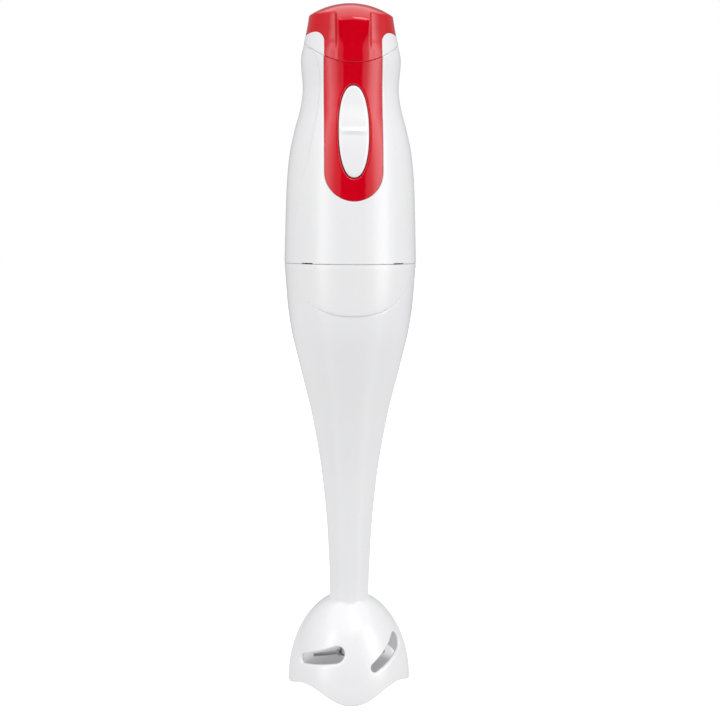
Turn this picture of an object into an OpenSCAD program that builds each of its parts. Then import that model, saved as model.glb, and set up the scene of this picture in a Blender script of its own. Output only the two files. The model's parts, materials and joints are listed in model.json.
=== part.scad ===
// Immersion blender: a handle with its motor, and a twist-lock blending foot.
// Millimetres, +Z up, front faces -Y. The origin is the centre of the four feet, at their level.

/* [Overall] */
// Height of the blending foot, from its feet to the joint with the handle
foot_h = 224; // [185:1:270]
// Height of the handle, from the joint to the crown
handle_h = 126; // [124:1:152]
// Widest diameter, where handle and foot meet
handle_d = 66.8; // [64:0.2:81]
// Wall of the moulded shells
wall = 2.2; // [1.8:0.1:2.7]

/* [Handle] */
// Narrowest diameter of the grip
waist_d = 47.5; // [45:0.5:56]
// Diameter of the bulge above the grip
bulge_d = 49.3; // [48:0.5:58]
// Diameter under the crown's edge
crown_d = 41.6; // [38:0.5:44]
// Radius of the domed crown
crown_r = 38; // [34:0.5:46]
// How far behind the axis the crown's highest point lies
crown_back = 3; // [0:0.5:6]
// How far the front panel stands proud of the shells
panel_rise = 0.4; // [0.2:0.1:0.8]
// Radius of the curved seam under the cap
cap_seam_r = 28; // [27:0.5:32]
// Height from the cap seam's lowest point to the crown
cap_h = 32.1; // [30:0.1:34]
// Height from the white collar's top edge to the crown
cover_h = 16; // [13:0.5:16]
// Radius of the collar's upper corners beside the front strip
collar_corner_r = 5.5; // [4:0.5:8]
// Half width of the brow on the crown
brow_half_w = 7.9; // [6:0.1:10]

/* [Button] */
// Half width of the bezel strip
bezel_half_w = 13.7; // [12.5:0.1:14.5]
// Height of the button's middle above the joint
button_z = 62; // [60:0.5:72]
// Length of the oval button
button_len = 43; // [38:0.5:46]
// Widest part of the oval button
button_w = 14.2; // [12:0.1:16]
// Room between the button and its bezel
button_gap = 0.5; // [0.4:0.05:0.8]
// Distance from the button's middle to the bezel's lower end
bezel_drop = 32.4; // [30:0.1:36]
// Radius of the rocker's pivot pin
rocker_pin_r = 1; // [0.8:0.1:1.3]
// Distance from the rocker's pivot to each switch plunger
plunger_arm = 12; // [10:0.5:13]

/* [Foot] */
// Diameter of the neck above the bell
neck_d = 20.9; // [20:0.1:26]
// Outer diameter of the bell at its feet
bell_d = 65.7; // [60:0.1:80]
// Height of the bell's ellipse
bell_h = 47.3; // [44:0.1:56]
// Depth of the four arches between the feet
arch_h = 7.6; // [4:0.1:9]
// Depth of the raised panel below the joint
smile_drop = 24.7; // [20:0.1:30]
// Length of a bell slot, between the centres of its two ends
slot_len = 20; // [14:0.5:22]
// Radius of a bell slot's wide end
slot_big_r = 3.7; // [3:0.1:4.5]
// Radius of a bell slot's narrow end
slot_tip_r = 2; // [1.5:0.1:2.5]

/* [Drive] */
// Radius of the drive shaft in the foot
drive_r = 3; // [2.5:0.1:3.6]
// Radius of the motor shaft
motor_shaft_r = 3.5; // [3:0.1:4.2]
// Radius of the armature
armature_r = 13; // [12:0.5:14]
// Length of the laminated stack
stack_h = 20; // [16:0.5:20]
// Radius of the commutator
commutator_r = 9; // [8:0.5:9.5]
// Tip radius of the blade
blade_r = 19.5; // [18:0.5:25]
// Thickness of the blade
blade_t = 1.2; // [1:0.1:1.6]
// Height of the blade above the feet
blade_z = 13; // [12:0.5:15]
// Angle that each wing of the blade is pitched by
wing_pitch = 17; // [0:1:22]

/* [Lock] */
// Outer radius of the handle's spigot
spigot_r = 22; // [20:0.5:22]
// How far the spigot reaches into the foot
spigot_depth = 18; // [16:0.5:20]
// Angle that the foot turns to unlock
twist_angle = 28; // [20:1:32]
// Angular width of a bayonet lug
lug_angle = 18; // [12:1:20]

/* [Cord inlet] */
// Radius of the cord's hole
cord_hole_r = 3.1; // [2.5:0.1:3.4]

/* [Hidden] */
$fn = 96;

// Clearances
seam_gap = 0.4;
fit_gap = 0.05;
skin_gap = 0.12;
loose_gap = 0.3;
screw_gap = 0.1;
eps = 0.01;
far = 60;

// Heights
joint_z = foot_h;
top_z = foot_h + handle_h;
handle_z0 = joint_z + seam_gap / 2;
foot_z1 = joint_z - seam_gap / 2;
cap_seam_z = top_z - cap_h;
cover_z = top_z - cover_h;
crown_mid_z = top_z - crown_r;
mid_z = joint_z + button_z;

// Handle floor that carries the spigot and the motor
plate_z0 = joint_z + 3;
plate_t = 2.5;
plate_z1 = plate_z0 + plate_t;

// Motor, from the floor upwards
bearing_r = 6.5;
bearing_h = 7;
fan_z0 = plate_z1 + 1.5;
fan_h = 7.5;
fan_r = 20;
cage_ledge_h = 3;
stator_z0 = fan_z0 + fan_h + 1.5 + cage_ledge_h;
stator_z1 = stator_z0 + stack_h;
end_turn = 2.8;
beam_z0 = stator_z1 + 3.5;
commutator_z0 = beam_z0 + 2;
commutator_h = 9;
top_bearing_z0 = commutator_z0 + commutator_h + 3;
top_bearing_h = 6;
top_bearing_r = 6;
beam_z1 = top_bearing_z0 + top_bearing_h + 1;
brush_z = commutator_z0 + 4;

// Drive coupling and lock, from the joint downwards
coupling_z0 = joint_z - 13;
coupling_r = 13;
coupling_t = 3;
shaft_z0 = coupling_z0 + 2;
dog_h = 5.2;
dog_z1 = coupling_z0 - 1;
dog_r = 12;
dog_hub_r = 5.5;
ear_angle = 30;
lug_z0 = joint_z - 14;
lug_h = 3;
lug_out = 2;
LUG_AT = [0, 120, 240];
spigot_z0 = joint_z - spigot_depth;
ring_floor_z1 = spigot_z0 - 2;
ring_floor_t = 3;
ring_floor_z0 = ring_floor_z1 - ring_floor_t;
ring_r = spigot_r + 4.5;
ring_flange_z0 = joint_z - 5;
ring_flange_t = 2.5;
shaft_bush_r = 5.5;
shaft_bush_h = 8;

// Neck and bell
boss_r = 9;
boss_z0 = 24;
lower_bush_r = 6.5;
seal_h = 4.5;
lower_bush_z0 = boss_z0 + 1 + seal_h + 0.5;
lower_bush_z1 = bell_h - 5.3;

// ---- smooth profiles through a few stations [position, value] ----
function secant(s, i) = (s[i + 1][1] - s[i][1]) / (s[i + 1][0] - s[i][0]);
function slope(s, i) =
    i == 0 ? secant(s, 0)
    : i == len(s) - 1 ? secant(s, i - 1)
    : secant(s, i - 1) * secant(s, i) <= 0 ? 0
    : 2 / (1 / secant(s, i - 1) + 1 / secant(s, i));
function span_of(s, x) = max([0, for (k = [0:len(s) - 2]) if (s[k][0] <= x) k]);
function hermite(t, a, b, ma, mb) =
    (2 * t * t * t - 3 * t * t + 1) * a + (t * t * t - 2 * t * t + t) * ma
    + (3 * t * t - 2 * t * t * t) * b + (t * t * t - t * t) * mb;
function through(s, x) =
    let (i = span_of(s, x), w = s[i + 1][0] - s[i][0], t = (x - s[i][0]) / w)
    hermite(t, s[i][1], s[i + 1][1], slope(s, i) * w, slope(s, i + 1) * w);
function mix(a, b, t) = a + (b - a) * t;

// Handle radius against the share of its height
seam_r = handle_d / 2;
waist_r = waist_d / 2;
HANDLE_SHAPE = [
    [0, seam_r],
    [0.17, mix(seam_r, waist_r, 0.07)],
    [0.30, mix(seam_r, waist_r, 0.14)],
    [0.42, mix(seam_r, waist_r, 0.29)],
    [0.52, mix(seam_r, waist_r, 0.57)],
    [0.60, mix(seam_r, waist_r, 0.86)],
    [0.675, waist_r],
    [0.785, bulge_d / 2],
    [0.84, mix(bulge_d / 2, crown_d / 2, 0.36)],
    [0.94, crown_d / 2],
    [1.05, crown_d / 2 - 1.5]];
function handle_r(z) = through(HANDLE_SHAPE, (z - joint_z) / handle_h);

// Foot radius against the share of its height above the neck's foot
neck_r = neck_d / 2;
FOOT_SHAPE = [
    [-0.3, neck_r],
    [0, neck_r],
    [0.17, mix(neck_r, seam_r, 0.042)],
    [0.36, mix(neck_r, seam_r, 0.165)],
    [0.54, mix(neck_r, seam_r, 0.383)],
    [0.72, mix(neck_r, seam_r, 0.706)],
    [0.81, mix(neck_r, seam_r, 0.862)],
    [0.89, mix(neck_r, seam_r, 0.943)],
    [1, seam_r]];
taper_h = foot_h - bell_h;
function taper_r(z) = through(FOOT_SHAPE, (z - bell_h) / taper_h);
function ellipse_r(z, a, b) = z >= b ? 0 : a * sqrt(1 - z * z / (b * b));
// The bell runs into the neck with a small fillet
neck_fillet = 8;
function foot_r(z) =
    pow(pow(ellipse_r(z, bell_d / 2, bell_h), neck_fillet) + pow(taper_r(z), neck_fillet), 1 / neck_fillet);

// Half width of the front panel: an angle round the handle against the share of its height
PANEL_EDGE = [[0, 62], [0.17, 57.5], [0.30, 51], [0.43, 42.5], [0.55, 40.5], [0.69, 40.5],
              [0.76, 43], [0.80, 52], [0.83, 72], [0.86, 88]];
function panel_half_w(z) =
    let (share = (z - joint_z) / handle_h) handle_r(z) * sin(through(PANEL_EDGE, share));

// Radial room inside the handle's wall, between two heights
function room(z0, z1) = min(handle_r(z0), handle_r(z1)) - wall;

// ---- helpers ----
// Keeps a front view outline (x, z) and pushes it from the axis to the front
module frontwards(depth = far) {
    rotate([90, 0, 0]) linear_extrude(depth) children();
}
module ring(r0, r1, z0, z1) {
    translate([0, 0, z0]) difference() {
        cylinder(r = r1, h = z1 - z0);
        translate([0, 0, -1]) cylinder(r = r0, h = z1 - z0 + 2);
    }
}
module disc(r, z0, z1) {
    translate([0, 0, z0]) cylinder(r = r, h = z1 - z0);
}
// A block between two corners
module block(a, b) {
    translate(a) cube(b - a);
}
// A rod along Y, from y0 to y1
module rod_y(x, z, r, y0, y1) {
    translate([x, y1, z]) rotate([90, 0, 0]) cylinder(r = r, h = y1 - y0);
}
module rod_x(y, z, r, x0, x1) {
    translate([x0, y, z]) rotate([0, 90, 0]) cylinder(r = r, h = x1 - x0);
}
// A sector of a ring, centred on an angle
module sector(r0, r1, z0, z1, middle, width) {
    translate([0, 0, z0]) rotate([0, 0, middle - width / 2])
        rotate_extrude(angle = width) translate([r0, 0]) square([r1 - r0, z1 - z0]);
}

// ---- handle ----
// Every skin of the handle is turned from the same stations, so that layers meet face to face
skin_steps = 23;
skin_z0 = joint_z - 1;
skin_z1 = top_z + 1;
function handle_side(off) =
    [for (k = [0:skin_steps]) let (z = mix(skin_z0, skin_z1, k / skin_steps)) [handle_r(z) + off, z]];
module handle_solid(off) {
    rotate_extrude() polygon(concat([[0, skin_z0]], handle_side(off), [[0, skin_z1]]));
}
module crown_ball(r) {
    translate([0, crown_back, crown_mid_z]) sphere(r = r);
}
module handle_hollow() {
    intersection() {
        handle_solid(-wall);
        union() {
            crown_ball(crown_r - wall);
            disc(far, 0, crown_mid_z);
        }
    }
}
// Everything above the curved seam under the cap
module cap_zone(grow) {
    translate([0, 0, cap_seam_z + cap_seam_r]) rotate([90, 0, 0])
        cylinder(r = cap_seam_r + grow, h = 2 * far, center = true);
}
// Front view of the raised panel, from the joint to the cap
panel_steps = 24;
panel_z0 = joint_z - 0.5;
panel_z1 = joint_z + 0.86 * handle_h;
module panel_outline() {
    side = [for (k = [0:panel_steps]) let (z = mix(panel_z0, panel_z1, k / panel_steps))
        [panel_half_w(z), z]];
    polygon(concat(side, [for (k = [panel_steps:-1:0]) [-side[k][0], side[k][1]]]));
}
// The ledge inside the joint that carries the handle's floor
plate_r = room(joint_z, plate_z1) - fit_gap;
ledge_w = 3;
module handle_wall(rise) {
    difference() {
        handle_solid(rise);
        handle_hollow();
        cap_zone(seam_gap / 2);
        disc(far, skin_z0 - 1, handle_z0);
    }
    ring(plate_r - ledge_w, plate_r + wall / 2, handle_z0, plate_z0);
}
// Air slits in the joint, two in front and two behind
slit_angle = 41.5;
slit_w = 7;
slit_h = 0.9;
module air_slits() {
    for (a = [slit_angle, -slit_angle, 180 - slit_angle, slit_angle - 180])
        rotate([0, 0, a]) block([-slit_w / 2, -seam_r - 2, handle_z0 - 1],
                                [slit_w / 2, ledge_w + 1 - plate_r, handle_z0 + slit_h]);
}
// Front view of the red strip that holds the button
bezel_round_z = mid_z - bezel_drop + bezel_half_w;
module bezel_outline(grow) {
    translate([0, bezel_round_z]) circle(r = bezel_half_w + grow);
    translate([-bezel_half_w - grow, bezel_round_z]) square([2 * (bezel_half_w + grow), far]);
}
// Boss and screw places that close the two shells
shell_screw_x = 15;
shell_screw_z = mid_z + 17.5;
shell_screw_r = 1.25;
shell_head_r = 2.2;
shell_boss_r = 2.6;
shell_split_y = -2;
shell_head_y = 6;
module handle_front_shell() {
    color("white") difference() {
        union() {
            intersection() {
                handle_wall(panel_rise);
                frontwards() panel_outline();
            }
            intersection() {
                for (x = [-shell_screw_x, shell_screw_x])
                    rod_y(x, shell_screw_z, shell_boss_r, -far / 2, shell_split_y);
                handle_hollow();
            }
        }
        frontwards() bezel_outline(skin_gap);
        air_slits();
        for (x = [-shell_screw_x, shell_screw_x])
            rod_y(x, shell_screw_z, shell_screw_r, shell_split_y - 8, shell_split_y + 1);
    }
}
module handle_rear_shell() {
    color("white") difference() {
        union() {
            difference() {
                handle_wall(0);
                frontwards() panel_outline();
            }
            intersection() {
                for (x = [-shell_screw_x, shell_screw_x])
                    rod_y(x, shell_screw_z, shell_boss_r + 0.6, shell_split_y, far / 2);
                handle_hollow();
            }
        }
        air_slits();
        for (x = [-shell_screw_x, shell_screw_x]) {
            rod_y(x, shell_screw_z, shell_screw_r + screw_gap, shell_split_y - 1, shell_head_y + 1);
            rod_y(x, shell_screw_z, shell_head_r + 0.2, shell_head_y, far / 2);
        }
    }
}
module housing_screws() {
    color("silver") for (x = [-shell_screw_x, shell_screw_x]) {
        rod_y(x, shell_screw_z, shell_screw_r, shell_split_y - 7.5, shell_head_y + 0.5);
        difference() {
            rod_y(x, shell_screw_z, shell_head_r, shell_head_y, shell_head_y + 2);
            translate([x, shell_head_y + 2, shell_screw_z]) for (a = [0, 90])
                rotate([0, a, 0]) cube([2.6, 2, 0.6], center = true);
        }
    }
}

// ---- button, bezel and switches ----
oval_power = 2 / 2.25;
oval_step = 7.5;
function bulged(v) = sign(v) * pow(abs(v), oval_power);
module oval(grow) {
    translate([0, mid_z]) polygon([for (a = [0:oval_step:360 - oval_step])
        [(button_w / 2 + grow) * bulged(cos(a)), (button_len / 2 + grow) * bulged(sin(a))]]);
}
button_rise = 0.3;
button_skin = 1.8;
button_skirt = 4;
button_skirt_w = 1.4;
pin_depth = 3.5;
pin_y = pin_depth - handle_r(mid_z);
pin_half = bezel_half_w - 3.5;
ear_w = 2;
board_y = -14.6;
board_t = 1.6;
board_half_w = 11;
board_z0 = mid_z - 18;
board_z1 = mid_z + 20;
post_x = 9.6;
post_r = 2;
post_screw_r = 0.8;
post_z = [mid_z - 15, mid_z + 17];
switch_depth = 4.6;
switch_half_w = 3.2;
switch_half_h = 3.5;
switch_face_y = board_y - switch_depth;
plunger_r = 1.6;
plunger_out = 2.4;
plunger_travel = 0.55;
plunger_y = switch_face_y - plunger_out;
plunger_inner_y = switch_face_y + 2.2;
foot_gap = 0.12;
flange_w = 2.5;
flange_t = 1.4;
flange_z0 = mid_z - bezel_drop - 4;
flange_z1 = mid_z + 8;
function inner_y(x, z) = -sqrt(pow(handle_r(z) - wall, 2) - x * x);
// The layer between two offsets from the handle's surface, between two heights
module skin_layer(off0, off1, z0, z1) {
    intersection() {
        difference() {
            handle_solid(off1);
            handle_solid(off0);
        }
        disc(far, z0, z1);
    }
}
module button_bezel() {
    color("crimson") difference() {
        union() {
            // The strip, with a flange that lies behind the shells
            difference() {
                intersection() {
                    handle_solid(panel_rise);
                    frontwards() union() {
                        bezel_outline(0);
                        intersection() {
                            bezel_outline(flange_w);
                            translate([-far, flange_z0]) square([2 * far, flange_z1 - flange_z0]);
                        }
                    }
                }
                handle_solid(-wall - flange_t);
                difference() {
                    frontwards() difference() {
                        translate([-far, flange_z0 - 1]) square([2 * far, far]);
                        bezel_outline(0);
                    }
                    handle_solid(-wall - skin_gap);
                }
            }
            for (x = [-post_x, post_x], z = post_z)
                block([x - post_r, inner_y(post_x, z) - wall / 2, z - post_r],
                      [x + post_r, board_y, z + post_r]);
            for (s = [-1, 1])
                block([s * (pin_half - ear_w / 2) - ear_w / 2, pin_y - 1, mid_z - 2.5],
                      [s * (pin_half - ear_w / 2) + ear_w / 2, pin_y + rocker_pin_r + 1.4, mid_z + 2.5]);
        }
        cap_zone(seam_gap / 2);
        frontwards() oval(button_gap);
        rod_x(pin_y, mid_z, rocker_pin_r, -pin_half, pin_half);
        for (x = [-post_x, post_x], z = post_z)
            rod_y(x, z, post_screw_r, board_y - 6, board_y + 1);
    }
}
module rocker_pin() {
    color("silver") rod_x(pin_y, mid_z, rocker_pin_r, -pin_half, pin_half);
}
rocker_lug_half_w = 5;
rocker_lug_half_h = 3;
rocker_eye_r = 2.4;
rib_r = 1.2;
rib_sink = 0.7;
rib_angle = 40;
module rocker_button() {
    outside = panel_rise + button_rise;
    z0 = mid_z - button_len;
    z1 = mid_z + button_len;
    color("whitesmoke") difference() {
        union() {
            intersection() {
                skin_layer(outside - button_skin, outside, z0, z1);
                frontwards() oval(0);
            }
            intersection() {
                skin_layer(outside - button_skirt, outside, z0, z1);
                frontwards() difference() {
                    oval(0);
                    oval(-button_skirt_w);
                }
            }
            intersection() {
                translate([0, 0, mid_z]) rotate([0, 0, -90 - rib_angle / 2]) rotate_extrude(angle = rib_angle)
                    translate([handle_r(mid_z) + outside - rib_sink, 0]) circle(r = rib_r, $fn = 32);
                frontwards() oval(-0.3);
            }
            block([-rocker_lug_half_w, -handle_r(mid_z) - outside + 1, mid_z - rocker_lug_half_h],
                  [rocker_lug_half_w, pin_y, mid_z + rocker_lug_half_h]);
            rod_x(pin_y, mid_z, rocker_eye_r, -rocker_lug_half_w, rocker_lug_half_w);
            for (s = [-1, 1]) rod_y(0, mid_z + s * plunger_arm, plunger_r,
                -handle_r(mid_z + s * plunger_arm) - outside + 1, plunger_y - foot_gap);
        }
        rod_x(pin_y, mid_z, rocker_pin_r + fit_gap, -far / 2, far / 2);
    }
}
module switch_plunger(z) {
    color("dimgray") rod_y(0, z, plunger_r, plunger_y, plunger_inner_y);
}
module upper_plunger() { switch_plunger(mid_z + plunger_arm); }
module lower_plunger() { switch_plunger(mid_z - plunger_arm); }
module speed_switches() {
    color("black") for (s = [-1, 1]) difference() {
        block([-switch_half_w, switch_face_y, mid_z + s * plunger_arm - switch_half_h],
              [switch_half_w, board_y, mid_z + s * plunger_arm + switch_half_h]);
        rod_y(0, mid_z + s * plunger_arm, plunger_r + fit_gap,
              switch_face_y - 1, plunger_inner_y + 2 * plunger_travel);
    }
}
module switch_board() {
    color("darkgreen") difference() {
        block([-board_half_w, board_y, board_z0], [board_half_w, board_y + board_t, board_z1]);
        for (x = [-post_x, post_x], z = post_z)
            rod_y(x, z, post_screw_r + screw_gap, board_y - 1, board_y + board_t + 1);
    }
}
module board_screws() {
    color("silver") for (x = [-post_x, post_x], z = post_z) {
        rod_y(x, z, post_screw_r, board_y - 5.5, board_y + board_t + 0.5);
        rod_y(x, z, 1.5, board_y + board_t, board_y + board_t + 1);
    }
}
module suppression_capacitor() {
    color("gold") block([-6, board_y + board_t, mid_z + 7], [6, board_y + board_t + 5, mid_z + 15]);
}

// ---- cap ----
cord_z = (cover_z + cap_seam_z) / 2;
cord_body_r = cord_hole_r + 1.5;
cord_flange_r = cord_body_r + 1.6;
cord_pad_r = cord_flange_r + 0.6;
cord_face_y = handle_r(cord_z) + 0.2;
cord_inner_y = cord_face_y - 6.3;
clamp_x = 8;
clamp_z = cord_z - 4;
clamp_y = 12;
clamp_t = 2.5;
clamp_end = 2.5;
clamp_half_h = 2.2;
clamp_screw_r = 1.2;
lip_t = 1.3;
lip_h = 3;
module red_zone(grow) {
    block([-far, -far, cover_z - grow], [far, far, top_z + 1]);
    frontwards() {
        translate([-bezel_half_w - grow, cap_seam_z - 5])
            square([2 * (bezel_half_w + grow), cap_h]);
        for (s = [0, 1]) mirror([s, 0]) difference() {
            translate([bezel_half_w - 1, cover_z - collar_corner_r])
                square([collar_corner_r + 1, collar_corner_r + 1]);
            translate([bezel_half_w + collar_corner_r, cover_z - collar_corner_r])
                circle(r = collar_corner_r - grow);
        }
    }
}
module cap_shell() {
    difference() {
        intersection() {
            crown_ball(crown_r);
            cap_zone(-seam_gap / 2);
            union() {
                handle_solid(0);
                intersection() {
                    disc(bulge_d / 2 - 0.2, cap_seam_z - 1, top_z);
                    frontwards() translate([-brow_half_w, cap_seam_z]) square([2 * brow_half_w, cap_h]);
                }
            }
        }
        handle_hollow();
    }
}
module cap_cover() {
    color("crimson") intersection() {
        cap_shell();
        red_zone(0);
    }
}
// Where the collar's lips may run: not behind the front strip
module lip_zone() {
    difference() {
        block([-far, -far, cap_seam_z - 5], [far, far, top_z]);
        frontwards() translate([-bezel_half_w - 4, cap_seam_z - 6]) square([2 * bezel_half_w + 8, far]);
    }
}
module cap_collar() {
    color("white") difference() {
        union() {
            difference() {
                cap_shell();
                red_zone(skin_gap);
            }
            // Lips inside the cover and inside the shells, and the web that joins them to the collar
            intersection() {
                skin_layer(-wall - lip_t, -wall - skin_gap, cap_seam_z - 4, cover_z + lip_h);
                lip_zone();
                cap_zone(lip_h);
                union() {
                    block([-far, -far, cover_z - lip_h], [far, far, top_z]);
                    difference() {
                        cap_zone(lip_h);
                        cap_zone(-lip_h);
                    }
                }
            }
            intersection() {
                skin_layer(-wall - lip_t, 0.5 - wall, cap_seam_z - 4, cover_z - skin_gap);
                lip_zone();
                cap_zone(-seam_gap / 2);
            }
            rod_y(0, cord_z, cord_pad_r, cord_inner_y + 1.5, cord_face_y);
            for (x = [-clamp_x, clamp_x])
                rod_y(x, clamp_z, clamp_half_h, clamp_y, -inner_y(clamp_x, clamp_z) + 0.8);
        }
        rod_y(0, cord_z, cord_body_r, 0, far / 2);
        rod_y(0, cord_z, cord_flange_r + loose_gap, 0, cord_inner_y + 1.5);
        rod_y(0, cord_z, cord_flange_r + skin_gap, cord_face_y, far / 2);
        for (x = [-clamp_x, clamp_x]) rod_y(x, clamp_z, clamp_screw_r, clamp_y - 1, clamp_y + 6);
    }
}
module cord_bushing() {
    color("dimgray") difference() {
        union() {
            rod_y(0, cord_z, cord_body_r, cord_inner_y, cord_face_y + 1.8);
            rod_y(0, cord_z, cord_flange_r, cord_face_y, cord_face_y + 1.8);
            rod_y(0, cord_z, cord_flange_r, cord_inner_y, cord_inner_y + 1.5);
        }
        rod_y(0, cord_z, cord_hole_r, cord_inner_y - 1, cord_face_y + 3);
    }
}
module cord_clamp() {
    color("ivory") difference() {
        block([-clamp_x - clamp_end, clamp_y - clamp_t, clamp_z - clamp_half_h],
              [clamp_x + clamp_end, clamp_y, clamp_z + clamp_half_h]);
        for (x = [-clamp_x, clamp_x])
            rod_y(x, clamp_z, clamp_screw_r + screw_gap, clamp_y - clamp_t - 1, clamp_y + 1);
    }
}
module clamp_screws() {
    color("silver") for (x = [-clamp_x, clamp_x]) {
        rod_y(x, clamp_z, clamp_screw_r, clamp_y - clamp_t - 0.5, clamp_y + 5.5);
        rod_y(x, clamp_z, 2, clamp_y - clamp_t - 1.4, clamp_y - clamp_t);
    }
}

// ---- handle floor and motor ----
bearing_lip = 1.5;
bearing_wall = 2.5;
spigot_t = 2.5;
floor_vent_x = 14.5;
floor_vent_r = 3;
module handle_spigot() {
    color("lightgray") difference() {
        union() {
            disc(plate_r, plate_z0, plate_z1);
            ring(spigot_r - spigot_t, spigot_r, spigot_z0, plate_z0 + eps);
            disc(bearing_r + bearing_wall, plate_z0 - bearing_h, plate_z1);
            for (a = LUG_AT) sector(spigot_r - 1, spigot_r + lug_out, lug_z0, lug_z0 + lug_h, a, lug_angle);
        }
        disc(bearing_r, plate_z0 - bearing_h + 1, plate_z1 + 1);
        disc(bearing_r - bearing_lip, plate_z0 - bearing_h - 1, plate_z1);
        for (a = [0:60:300]) rotate([0, 0, a]) translate([floor_vent_x, 0, 0])
            disc(floor_vent_r, plate_z0 - 1, plate_z1 + 1);
    }
}
module lower_motor_bearing() {
    color("darkgoldenrod")
        ring(motor_shaft_r + fit_gap, bearing_r, plate_z0 - bearing_h + 1, plate_z0 + 1.5);
}
cage_r1 = room(plate_z1, stator_z1) - flange_t - skin_gap - loose_gap;
cage_t = 2.2;
stator_r = cage_r1 - cage_t;
yoke_r = stator_r - 6;
bolt_r = 1.6;
bolt_head_r = 2.8;
bolt_head_h = 1.6;
bolt_x = stator_r - 3.2;
pole_gap = 0.5;
shoe_r0 = armature_r + pole_gap;
shoe_r1 = shoe_r0 + 2;
pole_w = 13;
module motor_cage() {
    color("lightgray") difference() {
        union() {
            ring(stator_r, cage_r1, plate_z1, stator_z1 - 2);
            ring(yoke_r + 1, stator_r + eps, stator_z0 - cage_ledge_h, stator_z0);
        }
        for (a = [45:90:315]) rotate([0, 0, a])
            block([stator_r - 2, -7, plate_z1 + 2], [cage_r1 + 1, 7, stator_z0 - cage_ledge_h - 1]);
        for (x = [-bolt_x, bolt_x]) translate([x, 0, stator_z0 - cage_ledge_h - 1])
            cylinder(r = bolt_r, h = cage_ledge_h + 2);
    }
}
module stator_core() {
    color("slategray") difference() {
        union() {
            ring(yoke_r, stator_r, stator_z0, stator_z1);
            for (a = [90, 270]) {
                sector(shoe_r0, shoe_r1, stator_z0, stator_z1, a, 110);
                rotate([0, 0, a])
                    block([shoe_r0 + 0.5, -pole_w / 2, stator_z0], [yoke_r + 2, pole_w / 2, stator_z1]);
            }
        }
        for (x = [-bolt_x, bolt_x]) translate([x, 0, 0])
            disc(bolt_r + screw_gap, stator_z0 - 1, stator_z1 + 1);
    }
}
coil_w = 4.5;
module field_coils() {
    color("peru") for (a = [90, 270]) rotate([0, 0, a]) difference() {
        intersection() {
            block([shoe_r1 + 0.3, -pole_w / 2 - coil_w, stator_z0 - end_turn],
                  [yoke_r + 2, pole_w / 2 + coil_w, stator_z1 + end_turn]);
            disc(yoke_r, stator_z0 - end_turn - 1, stator_z1 + end_turn + 1);
        }
        block([shoe_r0, -pole_w / 2, stator_z0], [yoke_r + 3, pole_w / 2, stator_z1]);
    }
}
beam_half_w = bolt_x - 3.3;
beam_half_d = 8;
leg_x0 = 15;
leg_half_d = 6;
holder_w = 7.2;
holder_h = 6.2;
holder_wall = 1;
module upper_bracket() {
    color("lightgray") difference() {
        union() {
            block([-beam_half_w, -beam_half_d, beam_z0], [beam_half_w, beam_half_d, beam_z1]);
            intersection() {
                for (s = [0, 1]) mirror([s, 0, 0])
                    block([leg_x0, -leg_half_d, stator_z1], [stator_r, leg_half_d, beam_z0 + 1]);
                disc(stator_r, stator_z1 - 1, beam_z0 + 2);
            }
        }
        disc(commutator_r + 1.6, beam_z0 - 5, commutator_z0 + commutator_h + 1.5);
        disc(motor_shaft_r + 1, beam_z0, beam_z1 + 1);
        disc(top_bearing_r, top_bearing_z0, beam_z1 + 1);
        block([-far, -holder_w / 2, brush_z - holder_h / 2], [far, holder_w / 2, brush_z + holder_h / 2]);
        for (x = [-bolt_x, bolt_x]) translate([x, 0, stator_z1 - 1]) cylinder(r = bolt_r + screw_gap, h = 10);
    }
}
module upper_motor_bearing() {
    color("darkgoldenrod")
        ring(motor_shaft_r + fit_gap, top_bearing_r, top_bearing_z0, top_bearing_z0 + top_bearing_h);
}
module motor_bolts() {
    color("silver") for (x = [-bolt_x, bolt_x]) {
        translate([x, 0, stator_z0 - cage_ledge_h]) cylinder(r = bolt_r, h = stack_h + cage_ledge_h + 4.7);
        translate([x, 0, beam_z0 + 1]) cylinder(r = bolt_head_r, h = bolt_head_h);
    }
}
holder_x0 = commutator_r + 2;
holder_x1 = beam_half_w + 3;
brush_x0 = commutator_r + 0.1;
brush_x1 = brush_x0 + 8;
module brush_holders() {
    color("goldenrod") for (s = [0, 1]) mirror([s, 0, 0]) difference() {
        block([holder_x0, -holder_w / 2, brush_z - holder_h / 2],
              [holder_x1, holder_w / 2, brush_z + holder_h / 2]);
        block([holder_x0 - 1, holder_wall - holder_w / 2, brush_z - holder_h / 2 + holder_wall],
              [holder_x1 - holder_wall, holder_w / 2 - holder_wall, brush_z + holder_h / 2 - holder_wall]);
    }
}
module carbon_brushes() {
    play = 0.1;
    color("black") for (s = [0, 1]) mirror([s, 0, 0])
        block([brush_x0, holder_wall - holder_w / 2 + play, brush_z - holder_h / 2 + holder_wall + play],
              [brush_x1, holder_w / 2 - holder_wall - play, brush_z + holder_h / 2 - holder_wall - play]);
}
spring_wire_r = 0.35;
spring_r = 1.4;
spring_turns = 5;
module brush_springs() {
    color("silver") for (s = [0, 1]) mirror([s, 0, 0]) translate([brush_x1, 0, brush_z]) rotate([0, 90, 0])
        linear_extrude(holder_x1 - holder_wall - brush_x1, twist = 360 * spring_turns,
                       slices = 12 * spring_turns, $fn = 8)
            translate([spring_r, 0]) circle(r = spring_wire_r, $fn = 6);
}
module motor_shaft() {
    color("silver") disc(motor_shaft_r, shaft_z0, beam_z1 + 0.5);
}
teeth = 12;
slot_r0 = armature_r * 0.68;
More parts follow.
